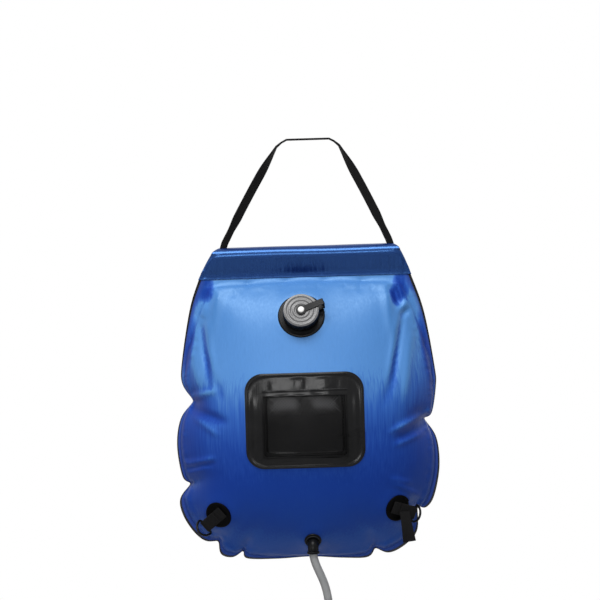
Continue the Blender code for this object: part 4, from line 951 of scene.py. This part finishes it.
def spare_film(start):
    """1 where the filled film has length to spare, which is near its border, else 0."""
    share, edge = share_at(start[:, 0] + HAND_SHIFT, start[:, 2])
    drawn_tight = smooth_step((start[:, 2] + TOP + 0.17) / 0.05) * smooth_step(
        (0.130 - np.abs(start[:, 0] + HAND_SHIFT)) / 0.03)
    return (1 - smooth_step((edge - share) / 0.26)) * (1 - drawn_tight)


STEP = 0.004
FRAMES_RUN = 24
SPARE = -0.14
front, front_start, front_free = sheet_object("front_sheet", FRONT_DEPTH, -1, STEP, 0.0024, BLUE,
                                              "blue_film", "front_panel")
back, back_start, back_free = sheet_object("back_sheet", BACK_DEPTH, 1, STEP, 0.0, BLACK,
                                           "black_film", "back_panel")
add_cloth(front, front_free, spare_film(front_start), FRAMES_RUN, SPARE, 4)
add_cloth(back, back_free, spare_film(back_start), FRAMES_RUN, SPARE, 4)
settle_sheets([(front, front_start, front_free), (back, back_start, back_free)], FRAMES_RUN,
              0.012)


def add_folds(made, start, free, side):
    """The folds and creases that the photograph shows, on top of the simulated ones."""
    points = mesh_points(made.data)
    x, z = (start[:, 0] + HAND_SHIFT) * -side, start[:, 2]
    share, edge = share_at(x, z)
    bend = notch_creases(x * -side, z, share, edge) * 0.0045
    for item in FOLDS:
        bend = bend + fold(x, z, *item) * (0.9 if side < 0 else 0.6)
    points[:, 1] += side * bend * free
    made.data.vertices.foreach_set("co", points.ravel())
    made.data.update()
    if side < 0:
        # Painted shade where the front sheet turns sideways, painted shade in its creases and
        # painted highlight on its ridges, and painted shade at the upper corners and down the
        # sides, kept in its shade value
        normals = np.empty(points.size)
        made.data.vertices.foreach_get("normal", normals)
        sideways = 1 - np.abs(normals[1::3])
        dark = 0.02 - 0.44 * np.clip((sideways - 0.14) / 0.66, 0, 1)
        dark += np.clip(bend / 0.0045, -1, 1) * 0.15 * free
        for item in SHADES:
            dark += fold(x, z, *item)
        shade = made.data.attributes.new("shade", "FLOAT", "POINT")
        shade.data.foreach_set("value", dark)


def finish_sheet(made):
    fine = made.modifiers.new("fine", "SUBSURF")
    fine.levels = fine.render_levels = 1
    fine.boundary_smooth = "PRESERVE_CORNERS"
    rim = made.modifiers.new("rim", "SOLIDIFY")
    rim.thickness = FILM
    rim.offset = -1
    rim.use_rim_only = True


add_folds(front, front_start, front_free, -1)
add_folds(back, back_start, back_free, 1)
finish_sheet(front)
finish_sheet(back)


# The top sleeve

TUBE_RADIUS = 0.0115
SLEEVE_RADIUS = TUBE_RADIUS + GAP + FILM
SLEEVE_CENTRE = 0.0065
STRAP_HALF = 0.11948
SLOT_LENGTH = 0.0122
NECK_WIDTH = 0.011
SWING_Z = -0.1471
EARS = (-0.664, 0.716)
FEET = (-0.800, 0.822)


def sleeve_half():
    """Heights and distances from the middle plane, from the weld's foot to the top."""
    foot = 1.5 * GAP + 2 * FILM
    low = -TOP - SLEEVE_HEIGHT
    middle = -TOP - SLEEVE_RADIUS
    points = [Vector((foot, low)), Vector((foot + 0.0001, low + 0.0035)),
              Vector((foot + 0.0009, low + 0.0075)), Vector((foot + 0.0041, low + 0.0150))]
    for step in range(9):
        angle = math.radians(-27 + 117 * step / 8)
        points.append(Vector((SLEEVE_RADIUS * math.cos(angle),
                              middle + SLEEVE_RADIUS * math.sin(angle))))
    return smooth_run(points, 4)


def ticks(x, seed):
    """Uneven upright puckers, as the film gathers on the weld."""
    total = np.zeros_like(x)
    for pitch, weight in ((0.0062, 0.45), (0.0101, 0.45), (0.0173, 0.55), (0.0340, 0.4)):
        total += weight * np.sin(x / pitch * math.tau + seed * pitch * 900
                                 + 2.2 * np.sin(x / 0.047 + seed))
    return total


def sleeve():
    half = sleeve_half()
    profile = [(-y, z, 0.0) for y, z in half] + [(y, z, 1.7) for y, z in half[-2::-1]]
    t = np.linspace(0, 1, 340)
    rows = []
    for y, z, seed in profile:
        down = (-TOP - z) / SLEEVE_HEIGHT
        bow = 0.0012 * math.sin(math.pi * min(1, max(0, down)))
        left = (EARS[0] + (FEET[0] - EARS[0]) * down) * WIDTH / 2 - bow
        right = (EARS[1] + (FEET[1] - EARS[1]) * down) * WIDTH / 2 + bow
        corner = 0.0065 * max(0.0, 1 - down / 0.15) ** 2
        left, right = left + corner, right - corner
        x = left + (right - left) * t
        window = max(0.0, math.sin(math.pi * min(1, max(0, (down - 0.36) / 0.60))))
        sag = 0.00035 * np.sin(x / 0.031 + seed) * max(0, 1 - down * 2)
        near_ends = 0.30 + 0.70 * np.exp(-(np.minimum(x - left, right - x) / 0.036) ** 2)
        pucker = ticks(x, seed) * 0.00060 * window * near_ends
        side = -1 if y < 0 else 1
        pinch = 1 - 0.35 * np.exp(-np.minimum(x - left, right - x) / 0.004) * (0.2 < down < 0.7)
        rows.append(np.stack([x - HAND_SHIFT, y * pinch + side * (pucker - sag), z - sag * 0.6
                              + 0 * x], 1))
    rows = np.array(rows)
    mid = (rows[:-1, :-1] + rows[1:, 1:]) / 2
    keep = np.ones(mid.shape[:2], bool)
    for end in (-1, 1):
        place = SLEEVE_CENTRE - HAND_SHIFT + end * (STRAP_HALF + 0.0020)
        slot = (np.abs(mid[..., 0] - place) < SLOT_LENGTH / 2) & (mid[..., 2] > -TOP - 0.0063)
        keep &= ~(slot & (np.abs(mid[..., 1]) < 0.0040))
    made = add_piece("sleeve_film", grid_mesh("sleeve_film", rows, keep=keep), SHADED_SLEEVE_FILM,
                     slot="blue_film", smooth=180, replaces=["top_sleeve"])
    rim = made.modifiers.new("rim", "SOLIDIFY")
    rim.thickness = FILM
    rim.offset = -1
    return made


sleeve()


# The strap

def web_section(width, thickness, corners=3):
    """A flat oval section as (across, off) points, anticlockwise."""
    half, round_off = width / 2, thickness / 2
    points = []
    for centre, start in ((half - round_off, -90), (round_off - half, 90)):
        for step in range(corners * 2 + 1):
            angle = math.radians(start + 180 * step / (corners * 2))
            points.append((centre + round_off * math.cos(angle), round_off * math.sin(angle)))
        for step in range(1, 5):
            level = round_off if start < 0 else -round_off
            share = step / 5
            run = (half - round_off) * (1 - 2 * share)
            points.append((run if start < 0 else -run, level))
    return points


def web_mesh(name, path, acrosses, widths, thickness):
    """Webbing along a path. Its UV map is in metres, across and along."""
    rows, lengths, at = [], [], 0.0
    for i, point in enumerate(path):
        ahead = (path[min(i + 1, len(path) - 1)] - path[max(i - 1, 0)]).normalized()
        across = (acrosses[i] - ahead * acrosses[i].dot(ahead)).normalized()
        off = ahead.cross(across)
        if i:
            at += (point - path[i - 1]).length
        lengths.append(at)
        rows.append([tuple(point + across * a + off * b)
                     for a, b in web_section(widths[i], thickness)])
    count = len(rows[0])
    flat = [spot for row in rows for spot in row]
    faces = []
    for r in range(len(rows) - 1):
        for c in range(count):
            d = (c + 1) % count
            faces.append((r * count + c, r * count + d, (r + 1) * count + d, (r + 1) * count + c))
    faces.append(tuple(range(count))[::-1])
    faces.append(tuple((len(rows) - 1) * count + c for c in range(count)))
    mesh = bpy.data.meshes.new(name)
    mesh.from_pydata(flat, [], faces)
    with edited(mesh) as shape:
        layer = shape.loops.layers.uv.new("UVMap")
        sections = [web_section(width, thickness) for width in widths]
        for face in shape.faces:
            for loop in face.loops:
                r, c = divmod(loop.vert.index, count)
                loop[layer].uv = (sections[r][c][0], lengths[r])
        bmesh.ops.recalc_face_normals(shape, faces=shape.faces)
    return mesh


def strap_leg(end):
    foot = Vector((SLEEVE_CENTRE - HAND_SHIFT + end * STRAP_HALF, 0, SWING_Z))
    head = Vector((end * 0.040, 0, 0.0011))
    points, widths, acrosses = [], [], []
    length = (head - foot).length
    steps = 44
    for step in range(-6, steps + 1):
        t = max(0.0, step / steps)
        place = foot.lerp(head, t) + Vector((end * 0.002 * math.sin(math.pi * t), 0, 0))
        if step < 0:
            place.z += 0.0024 * step
            place.x -= end * 0.0008 * max(step, -3)
        grown = min(1.0, max(0.0, t * length - 0.0175) / 0.028)
        grown = grown * grown * (3 - 2 * grown)
        near = smooth_step((1 - t) * length / 0.060)
        low = smooth_step(t * length / 0.050)
        twist = end * math.radians(64 + (40 - 64) * low) * near
        ahead = (head - foot).normalized()
        face = Vector((-ahead.z, 0, ahead.x))
        points.append(place)
        widths.append(NECK_WIDTH + 0.007 * grown)
        acrosses.append(Vector((0, 1, 0)) * math.cos(twist) + face * math.sin(twist))
    return points, widths, acrosses


def strap():
    left, right = strap_leg(-1), strap_leg(1)
    grip = [Vector((x, 0, 0.0011)) for x in np.linspace(-0.031, 0.031, 15)]
    bend = [a.lerp(b, 0.5) * 0.62 + Vector((end * 0.0385, 0, -0.0009)) * 0.38
            for a, b, end in ((left[0][-4], grip[0], -1), (grip[-1], right[0][-4], 1))]
    points = left[0][:-3] + [bend[0]] + grip + [bend[1]] + right[0][-4::-1]
    flat = Vector((0, 1, 0))
    widths = left[1][:-3] + [0.018] * (len(grip) + 2) + right[1][-4::-1]
    acrosses = left[2][:-3] + [flat] * (len(grip) + 2) + right[2][-4::-1]
    mesh = web_mesh("strap_webbing", points, acrosses, widths, 0.0022)
    made = add_piece("strap_webbing", mesh, WEB, body=None, slot="webbing", smooth=50,
                     replaces=["handle_strap"])
    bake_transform(made)
    return made


strap()


def strap_run():
    """The strap's lower run, through the tube and out of both slots."""
    ends = []
    for end in (-1, 1):
        foot = SLEEVE_CENTRE - HAND_SHIFT + end * (STRAP_HALF + 0.0024)
        spots = [Vector((foot - end * inward, 0, -TOP - SLEEVE_RADIUS + up))
                 for inward, up in ((0, 0.0068), (0.0004, 0.0036), (0.0022, 0.0012),
                                    (0.0056, 0.0002), (0.0100, 0))]
        ends.append(smooth_run(spots, 3))
    level = [Vector((x, 0, ends[0][-1].z))
             for x in np.linspace(ends[0][-1].x, ends[1][-1].x, 14)[1:-1]]
    points = ends[0] + level + ends[1][::-1]
    upright = np.clip([(point.z - level[0].z) / 0.0068 for point in points], 0, 1)
    acrosses = [Vector((0, math.cos(twist), 0)) + Vector((math.sin(twist), 0, 0))
                * (-1 if point.x < SLEEVE_CENTRE - HAND_SHIFT else 1)
                for point, twist in zip(points, np.radians(64) * upright)]
    mesh = web_mesh("strap_run", points, acrosses, [NECK_WIDTH - 0.0004] * len(points), 0.0020)
    return add_piece("strap_run", mesh, WEB, slot="webbing", smooth=50, replaces=["strap_core"])


strap_run()


# The filler

def draped_round(name, key, inner, outer, lift, thickness, finish, rings=10, steps=96,
                 crown=None, **more):
    """A patch that follows the sheet, with a rounded edge; crown(share) lifts it further."""
    angle = np.linspace(0, math.tau, steps, endpoint=False)
    rows = []
    stations = [(outer, 0.0)]
    for step in range(1, 4):
        turn = math.pi / 2 * step / 3
        stations.append((outer - thickness * (1 - math.cos(turn)) * 0.8,
                         thickness * math.sin(turn)))
    start = stations[-1][0]
    for step in range(1, rings + 1):
        radius = start + (inner - start) * step / rings
        share = radius / outer
        stations.append((radius, thickness + (crown(share) if crown else 0.0)))
    if inner > 0:
        stations.append((inner, 0.0))
    for radius, up in stations:
        radius = max(radius, 0.00001)
        rows.append(drape(key, radius * np.cos(angle), radius * np.sin(angle), lift + up))
    return add_piece(name, grid_mesh(name, rows, wrap=True), finish, smooth=40, **more)


NECK = 0.020
draped_round("flange_film", "filler", NECK + 0.0004, 0.034, 0.0005, 0.0012, PLASTIC,
             crown=lambda s: 0.0004 * math.exp(-((s - 0.93) / 0.03) ** 2),
             slot="black_plastic", replaces=["filler_flange"])
turned("neck_ring", "filler",
       [(0.0175, 0.0125), (0.0178, 0.0125), *round_corner(NECK - 0.0005, 0.0120, 0.0005, 90),
        (NECK, 0.0102), (0.0203, 0.0098), (NECK, 0.0094), (NECK, 0.0078), (0.0203, 0.0074),
        (NECK, 0.0070), (NECK, 0.0030), (0.0236, 0.0030), (0.0240, 0.0028), (0.0240, 0.0020),
        (NECK, 0.0020), (NECK, -0.006), (0.0175, -0.006)],
       PLASTIC, slot="black_plastic", replaces=["filler_neck"])


def cap_shell():
    """The ribbed cap: an outer skirt with rounded grips, and the bore inside it."""
    steps = 16 * 14
    angle = np.linspace(0, math.tau, steps, endpoint=False)
    rib = 0.0007 * ((1 + np.cos(angle * 16)) / 2) ** 0.6
    rows = []
    sections = [(0.0204, 0.0049, 0), (0.0253, 0.0049, 0), (0.0262, 0.0052, 0.7),
                (0.0265, 0.0060, 1), (0.0265, 0.0152, 1), (0.0264, 0.0160, 0.85),
                (0.0261, 0.0167, 0.5), (0.0257, 0.0171, 0.0), (0.0030, 0.0171, 0),
                (0.0030, 0.0147, 0), (0.0204, 0.0147, 0)]
    for radius, height, ribbed in sections:
        reach = radius - (0.0007 - rib) * ribbed
        rows.append(np.stack([reach * np.cos(angle), reach * np.sin(angle),
                              np.full(steps, height)], 1))
    mesh = grid_mesh("cap_shell", in_frame("filler", rows), wrap_rows=True, wrap=True)
    return add_piece("cap_shell", mesh, PLASTIC, body="cap", slot="black_plastic", smooth=32,
                     replaces=["filler_cap"])


cap_shell()


def disc_profile():
    """The inlay's dish: a rounded bright rim, three soft rings, and a flat seat for the eye."""
    low, high = 0.0174, 0.0185
    points = [(0.0030, high), (0.0080, high)]
    pitch = (0.0256 - 0.0080) / 3
    for ring in range(3):
        start = 0.0080 + pitch * ring
        for step in range(1, 9):
            share = step / 8
            crest = 0.0005 * math.sin(math.pi * share) ** 2
            if ring == 2 and share > 0.82:
                break
            points.append((start + pitch * share, high + crest))
    points += round_corner(0.0252, 0.0183, 0.0004, 90)
    return points + [(0.0256, low), (0.0030, low)]


turned("disc_inlay", "filler", disc_profile(), GREY, 128, body="cap", slot="grey_plastic",
       replaces=["cap_disc"])
# The pin boss's pale colour is a painted highlight at the cap's centre
turned("pin_boss", "filler",
       [(0.00001, 0.0231), (0.0022, 0.0231), (0.0036, 0.0227), (0.0045, 0.0219),
        (0.0048, 0.0211), (0.0048, 0.0209), (0.0026, 0.0209), (0.0026, 0.0150),
        (0.00001, 0.0150)], PALE, 64, body="cap", slot="white_plastic", replaces=["cap_pin"])


def soften(name, width, segments=2):
    """Rounds the edges of a CAD node as it is shown."""
    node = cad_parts[name]
    edge = node.modifiers.new("soft_edges", "BEVEL")
    edge.width = width
    edge.segments = segments
    edge.limit_method = "ANGLE"
    edge.angle_limit = math.radians(35)
    edge.use_clamp_overlap = True
    edge.harden_normals = False


soften("cap_leash", 0.0003)
for part in ("tap_body", "tap_lever", "lever_screw"):
    soften(part, 0.0004)


# The mesh pocket

def rounded_outline(width, height, corner, steps, sides):
    points = []
    for quarter, (sx, sz) in enumerate(((1, 1), (-1, 1), (-1, -1), (1, -1))):
        cx, cz = sx * (width / 2 - corner), sz * (height / 2 - corner)
        for step in range(steps + 1):
            angle = math.pi / 2 * (quarter + step / steps)
            points.append((cx + corner * math.cos(angle), cz + corner * math.sin(angle)))
        side = (width if quarter % 2 == 0 else height) - 2 * corner
        way = (-sx, 0) if quarter % 2 == 0 else (0, -sz)
        end = points[-1]
        for step in range(1, sides):
            points.append((end[0] + way[0] * side * step / sides,
                           end[1] + way[1] * side * step / sides))
    return np.array(points)


def pocket_wrinkles(x, z):
    """Soft folds of the patch, counted from its middle, in metres."""
    total = np.zeros_like(x)
    for height, at, wide in ((0.0011, -0.0545, 0.0026), (0.0009, -0.0480, 0.0022),
                             (0.0008, -0.0595, 0.0018)):
        wave = z - at - 0.0016 * np.sin(x / 0.021 + at * 300)
        total += height * np.exp(-(wave / wide) ** 2) * smooth_step((0.066 - np.abs(x)) / 0.02)
    upright = np.exp(-((z - 0.0517) / 0.015) ** 2)
    for at, wide, height in ((-0.0086, 0.0046, 0.0020), (0.0298, 0.0034, 0.0015)):
        total += height * upright * np.exp(-((x - at) / wide) ** 2)
    total -= 0.0013 * upright * (smooth_step((-0.046 - x) / 0.010)
                                 + smooth_step((x - 0.041) / 0.010))
    total += 0.00022 * upright * np.sin(x / 0.0019 + 1.5 * np.sin(x / 0.013))
    total += 0.0009 * np.exp(-((np.abs(x) - 0.0735) / 0.0022) ** 2) * smooth_step(
        (0.045 - np.abs(z + 0.004)) / 0.02)
    return total


def pocket_backing():
    width, height = POCKET_SIZE
    outline = rounded_outline(width, height, 0.026, 12, 14)
    half = width / 2
    stations = [(0.0, 0.0002), (0.0003, 0.0008), (0.0010, 0.0011), (0.0016, 0.0011),
                (0.0023, 0.0018), (0.0031, 0.0022), (0.0040, 0.0021), (0.0049, 0.0013),
                (0.0060, 0.0009)]
    inner = np.linspace(0.0085, half - 0.0001, 32)
    rows = []
    for inward, up in stations + [(value, 0.0008) for value in inner]:
        share = 1 - inward / half
        x, z = outline[:, 0] * share, outline[:, 1] * share
        free = float(smooth_step((inward - 0.006) / 0.006))
        lift = np.maximum(0.0005 + up + pocket_wrinkles(x, z) * free, 0.0009)
        rows.append(on_front(POCKET[0] + x, POCKET[1] + z, lift))
    return add_piece("pocket_patch", grid_mesh("pocket_patch", rows, wrap=True), PATCH,
                     slot="black_film", smooth=180, replaces=["pocket_backing"])


pocket_backing()

NET_WIDTH = 0.119
NET_HEIGHT = 0.086
NET_Z = POCKET[1] - 0.009
BORDER_LOW = 0.0019
NET_LIFT = 0.0097


def border_wall():
    """The film gusset round three sides of the net, a soft fold that stands off the patch."""
    half_w = NET_WIDTH / 2 - 0.003
    top = NET_Z + NET_HEIGHT / 2 + 0.010
    low = NET_Z - NET_HEIGHT / 2 + 0.003
    corner = 0.006
    path = [(-half_w, z, 1, 0) for z in np.linspace(top, low + corner, 40)]
    for turn in np.linspace(math.pi, 1.5 * math.pi, 8)[1:]:
        path.append((corner - half_w + corner * math.cos(turn), low + corner
                     + corner * math.sin(turn), -math.cos(turn), -math.sin(turn)))
    path += [(x, low, 0, 1) for x in np.linspace(corner - half_w, half_w - corner, 40)[1:-1]]
    for turn in np.linspace(1.5 * math.pi, math.tau, 8):
        path.append((half_w - corner + corner * math.cos(turn), low + corner
                     + corner * math.sin(turn), -math.cos(turn), -math.sin(turn)))
    path += [(half_w, z, -1, 0) for z in np.linspace(low + corner, top, 40)[1:]]
    path = np.array(path)
    high = BORDER_LOW + 0.0075
    section = [(-0.0028, BORDER_LOW), (0.0026, BORDER_LOW), (0.0020, BORDER_LOW + 0.0018),
               (0.0016, BORDER_LOW + 0.0038), (0.0024, high - 0.0012), (0.0022, high - 0.0003),
               (0.0012, high), (-0.0018, high), (-0.0026, high - 0.0006),
               (-0.0022, high - 0.0020), (-0.0012, BORDER_LOW + 0.0038),
               (-0.0018, BORDER_LOW + 0.0016)]
    run = np.arange(len(path)) * 0.31
    rows = []
    for across, lift in section:
        sway = 0.0004 * np.sin(run) * (lift - BORDER_LOW) / 0.0075
        x = POCKET[0] + path[:, 0] + path[:, 2] * (across + sway)
        z = path[:, 1] + path[:, 3] * (across + sway)
        rows.append(on_front(x, z, lift))
    return add_piece("pocket_gusset", grid_mesh("pocket_gusset", rows, wrap_rows=True), FABRIC,
                     slot="black_film", smooth=60, replaces=["pocket_border"])


border_wall()


def net_level(x, z):
    """How far the net stands off the sheet: it sags a little between its edges."""
    across = np.clip(1 - (x / (NET_WIDTH / 2)) ** 2, 0, 1)
    along = np.clip((z - NET_Z + NET_HEIGHT / 2) / NET_HEIGHT, 0, 1)
    dip = across ** 0.7 * np.sin(np.pi * along) ** 0.7
    humps = np.exp(-((np.abs(x) - 0.026) / 0.016) ** 2) * np.exp(-((along - 0.76) / 0.18) ** 2)
    return NET_LIFT + 0.0004 - 0.0026 * dip + 0.0034 * humps * across


def net_piece():
    """Two sets of slanting threads that cross, with a hem along the sides and the foot."""
    left, right = -NET_WIDTH / 2 + 0.0008, NET_WIDTH / 2 - 0.0008
    low, high = NET_Z - NET_HEIGHT / 2 + 0.0008, NET_Z + NET_HEIGHT / 2
    pitch = 0.0045
    verts, faces = [], []

    def thread(points, width, lift):
        points = np.asarray(points)
        ahead = np.gradient(points, axis=0)
        ahead /= np.linalg.norm(ahead, axis=1, keepdims=True)
        over = np.stack([-ahead[:, 1], ahead[:, 0]], 1) * width / 2
        level = net_level(points[:, 0], points[:, 1]) + lift
        sides = []
        for shift, up in ((-1, 0), (0, width * 0.10), (1, 0)):
            spot = points + over * shift
            sides.append(on_front(POCKET[0] + spot[:, 0], spot[:, 1], level + up))
        start = len(verts)
        count = len(points)
        for side in sides:
            verts.extend(side.tolist())
        for i in range(count - 1):
            for s in (0, 1):
                a = start + s * count + i
                faces.append((a, a + count, a + count + 1, a + 1))

    height = high - low
    for way in (1, -1):
        starts = np.arange(left - height, right, pitch)
        for begin in starts:
            a = max(0.0, left - begin)
            b = min(height, right - begin)
            if b - a < pitch:
                continue
            run = np.linspace(a, b, max(3, int((b - a) / 0.006)))
            x = begin + run
            z = low + run if way > 0 else high - run
            thread(np.stack([x, z], 1), 0.00062, 0.0 if way > 0 else 0.00022)
    hem = [(left, z) for z in np.linspace(high, low, 30)]
    hem += [(x, low) for x in np.linspace(left, right, 40)[1:]]
    hem += [(right, z) for z in np.linspace(low, high, 30)[1:]]
    thread(hem, 0.0022, 0.0003)
    mesh = bpy.data.meshes.new("pocket_net")
    mesh.from_pydata(verts, [], faces)
    place = np.array(verts)
    x, z = place[:, 0] + HAND_SHIFT - POCKET[0], place[:, 2]
    # Two patches near the net's top where its colour is painted lighter: a painted glint
    beside = np.minimum(np.abs(x + 0.0284) - 0.0185, np.abs(x - 0.0285) - 0.0170)
    painted_glint = smooth_step(0.5 - beside / 0.003) * smooth_step(
        0.5 + (0.0085 - np.abs(z + 0.3825)) / 0.004)
    mesh.attributes.new("painted_glint", "FLOAT", "POINT").data.foreach_set("value", painted_glint)
    with edited(mesh) as shape:
        shape.normal_update()
        wrong = [face for face in shape.faces if face.normal.y > 0]
        bmesh.ops.reverse_faces(shape, faces=wrong)
    return add_piece("pocket_net", mesh, NET, slot="net", smooth=180, replaces=["pocket_mesh"])


net_piece()


def binding_piece():
    """The hemmed band along the pocket's mouth."""
    x = np.linspace(-NET_WIDTH / 2, NET_WIDTH / 2, 90)
    low = NET_Z + NET_HEIGHT / 2 + GAP
    rows = []
    for share, up in ((0.0, 0.0), (0.02, 0.0014), (0.10, 0.0017), (0.22, 0.0013),
                      (0.50, 0.0014), (0.78, 0.0013), (0.90, 0.0019), (0.98, 0.0014),
                      (1.0, 0.0)):
        z = np.full_like(x, low + 0.0097 * share)
        wave = 0.0004 * np.sin(x / 0.0049 + 1.3 * np.sin(x / 0.019)) * math.sin(math.pi * share)
        rows.append(on_front(POCKET[0] + x, z, NET_LIFT + up + wave))
    return add_piece("pocket_hem", grid_mesh("pocket_hem", rows), PATCH, slot="black_film",
                     smooth=180, replaces=["pocket_binding"])


binding_piece()


# Anchors, tabs and rings

PATCH_LIFT = 0.0005
PATCH_FILM = 0.0015
TAB_THICK = 0.0012
RING_WIRE = 0.0017


def anchor_tab(word):
    """Webbing folded round the ring's bar, both ends held on the patch."""
    low = PATCH_LIFT + PATCH_FILM + GAP + TAB_THICK / 2
    loop = RING_WIRE + 0.0004 + TAB_THICK / 2
    path = [(0.011, low), (0.0, low), (-0.013, low), (-0.026, low)]
    for step in range(1, 13):
        angle = -math.pi / 2 - math.pi * step / 12
        path.append((-0.026 + loop * math.cos(angle), low + loop + loop * math.sin(angle)))
    pinch = low + TAB_THICK + GAP
    path.append((-0.026 + loop * 2, (low + 2 * loop + pinch) / 2))
    path += [(-0.026 + loop * 4, pinch), (-0.026 + loop * 4 + 0.013, pinch)]
    turn = FRAMES[f"{word}_anchor"]
    points = [turn @ Vector((0, along, height)) for along, height in path]
    side = turn.to_3x3().col[0]
    mesh = web_mesh(f"{word}_tab", points, [side] * len(points),
                    [0.018] * len(points), TAB_THICK)
    return add_piece(f"{word}_tab", mesh, WEB, slot="webbing", smooth=50,
                     replaces=[f"{word}_anchor_tab"])


def ring_piece(word):
    width = 0.0105 + RING_WIRE
    depth = 0.016 + 2 * RING_WIRE
    corner = RING_WIRE * 1.6
    bow = corner * 0.7
    points = [Vector((x, 0, 0)) for x in np.linspace(width - corner, corner - width, 11)]
    for angle in np.linspace(math.pi, math.tau, 37):
        points.append(Vector((width * math.cos(angle), -(bow - (depth - bow) * math.sin(angle)),
                              0)))
    points = [FRAMES[f"{word}_ring"] @ point for point in points]
    mesh = tube_along(f"{word}_ring_wire", points, RING_WIRE, 14, closed=True)
    return add_piece(f"{word}_ring_wire", mesh, PLASTIC, body=f"{word}_ring",
                     slot="black_plastic", smooth=60, replaces=[f"{word}_d_ring"])


def patch_crown(share):
    return 0.00045 * math.exp(-((share - 0.86) / 0.045) ** 2) - 0.0002 * (share < 0.7)


for word in ("left", "right"):
    patch = draped_round(f"{word}_patch", f"{word}_anchor", 0, ANCHOR_RADIUS, PATCH_LIFT,
                         PATCH_FILM, ANCHOR, crown=patch_crown, slot="black_film",
                         replaces=[f"{word}_anchor_patch"])
    anchor_tab(word)
    ring_piece(word)


def tail_piece():
    """The strap's loose end, which hangs from the right anchor."""
    place = Vector((0.11501, -0.02747, -0.53922))
    outward = Vector((0.51501, -0.81028, -0.27966))
    up = (Vector((0, 0, 1)) - outward * outward.z).normalized()
    side = up.cross(outward).normalized()
    lift = PATCH_LIFT + PATCH_FILM + 2.5 * TAB_THICK + 3 * GAP
    start = place + side * 0.0081 - up * 0.0036 + outward * lift
    points, acrosses, widths = [], [], []
    for t in np.linspace(0, 1, 20):
        points.append(start + Vector((0.006 * t, -0.003 * math.sin(math.pi * t), -0.044 * t)))
        acrosses.append(side.lerp(Vector((1, 0, 0)), t))
        widths.append(0.016 + 0.003 * t * t)
    mesh = web_mesh("strap_tail", points, acrosses, widths, TAB_THICK)
    return add_piece("strap_tail", mesh, WEB, slot="webbing", smooth=50,
                     replaces=["right_strap_tail"])


tail_piece()


# The outlet

draped_round("outlet_plate", "outlet", 0.0069, 0.0125, 0.0005, 0.0012, PLASTIC, 5, 64,
             slot="black_plastic", replaces=["outlet_flange"])
turned("outlet_washer_ring", "outlet",
       [(0.0069, 0.0031), (0.0103, 0.0031), (0.0105, 0.0029), (0.0105, 0.0024),
        (0.0103, 0.0023), (0.0069, 0.0023)], RUBBER, 64, slot="rubber",
       replaces=["outlet_washer"])


def elbow_piece():
    """The bend from the spigot's collar down to the hose, with a small lip at its mouth."""
    turn = FRAMES["outlet"]
    outward = turn.to_3x3().col[2]
    start = turn @ Vector((0, 0, 0.0049))
    knee = start + outward * (0.0033 + 0.0058 * 0.72)
    a = start + outward * 0.003
    c = knee + Vector((0, 0, -0.0058))
    route = [start, start + outward * 0.0004, start + outward * 0.0016]
    radii = [0.0074, 0.0078, 0.0078]
    for t in np.linspace(0, 1, 14):
        route.append(a * (1 - t) ** 2 + knee * 2 * t * (1 - t) + c * t * t)
        radii.append(0.0078)
    route += [route[-1] + Vector((0, 0, -0.0006)), route[-1] + Vector((0, 0, -0.0010))]
    radii += [0.0078, 0.0074]
    mesh = tube_along("elbow_bend", route, radii, 40)
    return add_piece("elbow_bend", mesh, PLASTIC, slot="black_plastic", smooth=50,
                     replaces=["outlet_elbow"])


elbow_piece()
FRAMES["hose"] = Matrix.Translation((-0.00979, -0.04095, -0.59669))


def collar(name, key, low, high, node):
    return turned(name, key, [(0.0062, high), (0.0082, high), (0.0088, high - 0.0004),
                              (0.0090, high - 0.0012), (0.0090, low + 0.0012),
                              (0.0088, low + 0.0004), (0.0082, low), (0.0062, low)],
                  PLASTIC, 64, slot="black_plastic", replaces=[node])


hose_ring = collar("hose_ring", "hose", -0.0043, -0.0003, "hose_collar")
tap_ring = collar("tap_ring", "head", 0.0003, 0.0103, "tap_collar")


def head_shell():
    """The shower head's bell, thin at its mouth."""
    top, length = -0.0323, 0.036
    shares = [Vector((0.0, 0.0)), Vector((0.12, 0.20)), Vector((0.34, 0.42)),
              Vector((0.68, 0.62)), Vector((1.0, 0.80))]
    outer = [(0.0125 + 0.0215 * p.x, top - length * p.y) for p in smooth_run(shares, 5)]
    low = top - length
    seat = low + 0.0025 + 0.0012 + 0.0006
    inner = [(r - 0.002, min(h, top - 0.002)) for r, h in outer[5:]]
    profile = [(0.004, top), (0.0118, top), *outer[1:], (0.0340, low + 0.0006),
               (0.0337, low), (0.0330, low), (0.0330, seat), (0.0295, seat),
               (0.0295, seat + 0.002), *inner[-2::-1], (0.0105, top - 0.002),
               (0.004, top - 0.002)]
    return turned("head_bell", "head", profile, PLASTIC, 96, slot="black_plastic",
                  replaces=["shower_head"])


bell = head_shell()

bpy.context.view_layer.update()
scene = bpy.context.scene
scene.view_settings.view_transform = "Standard"
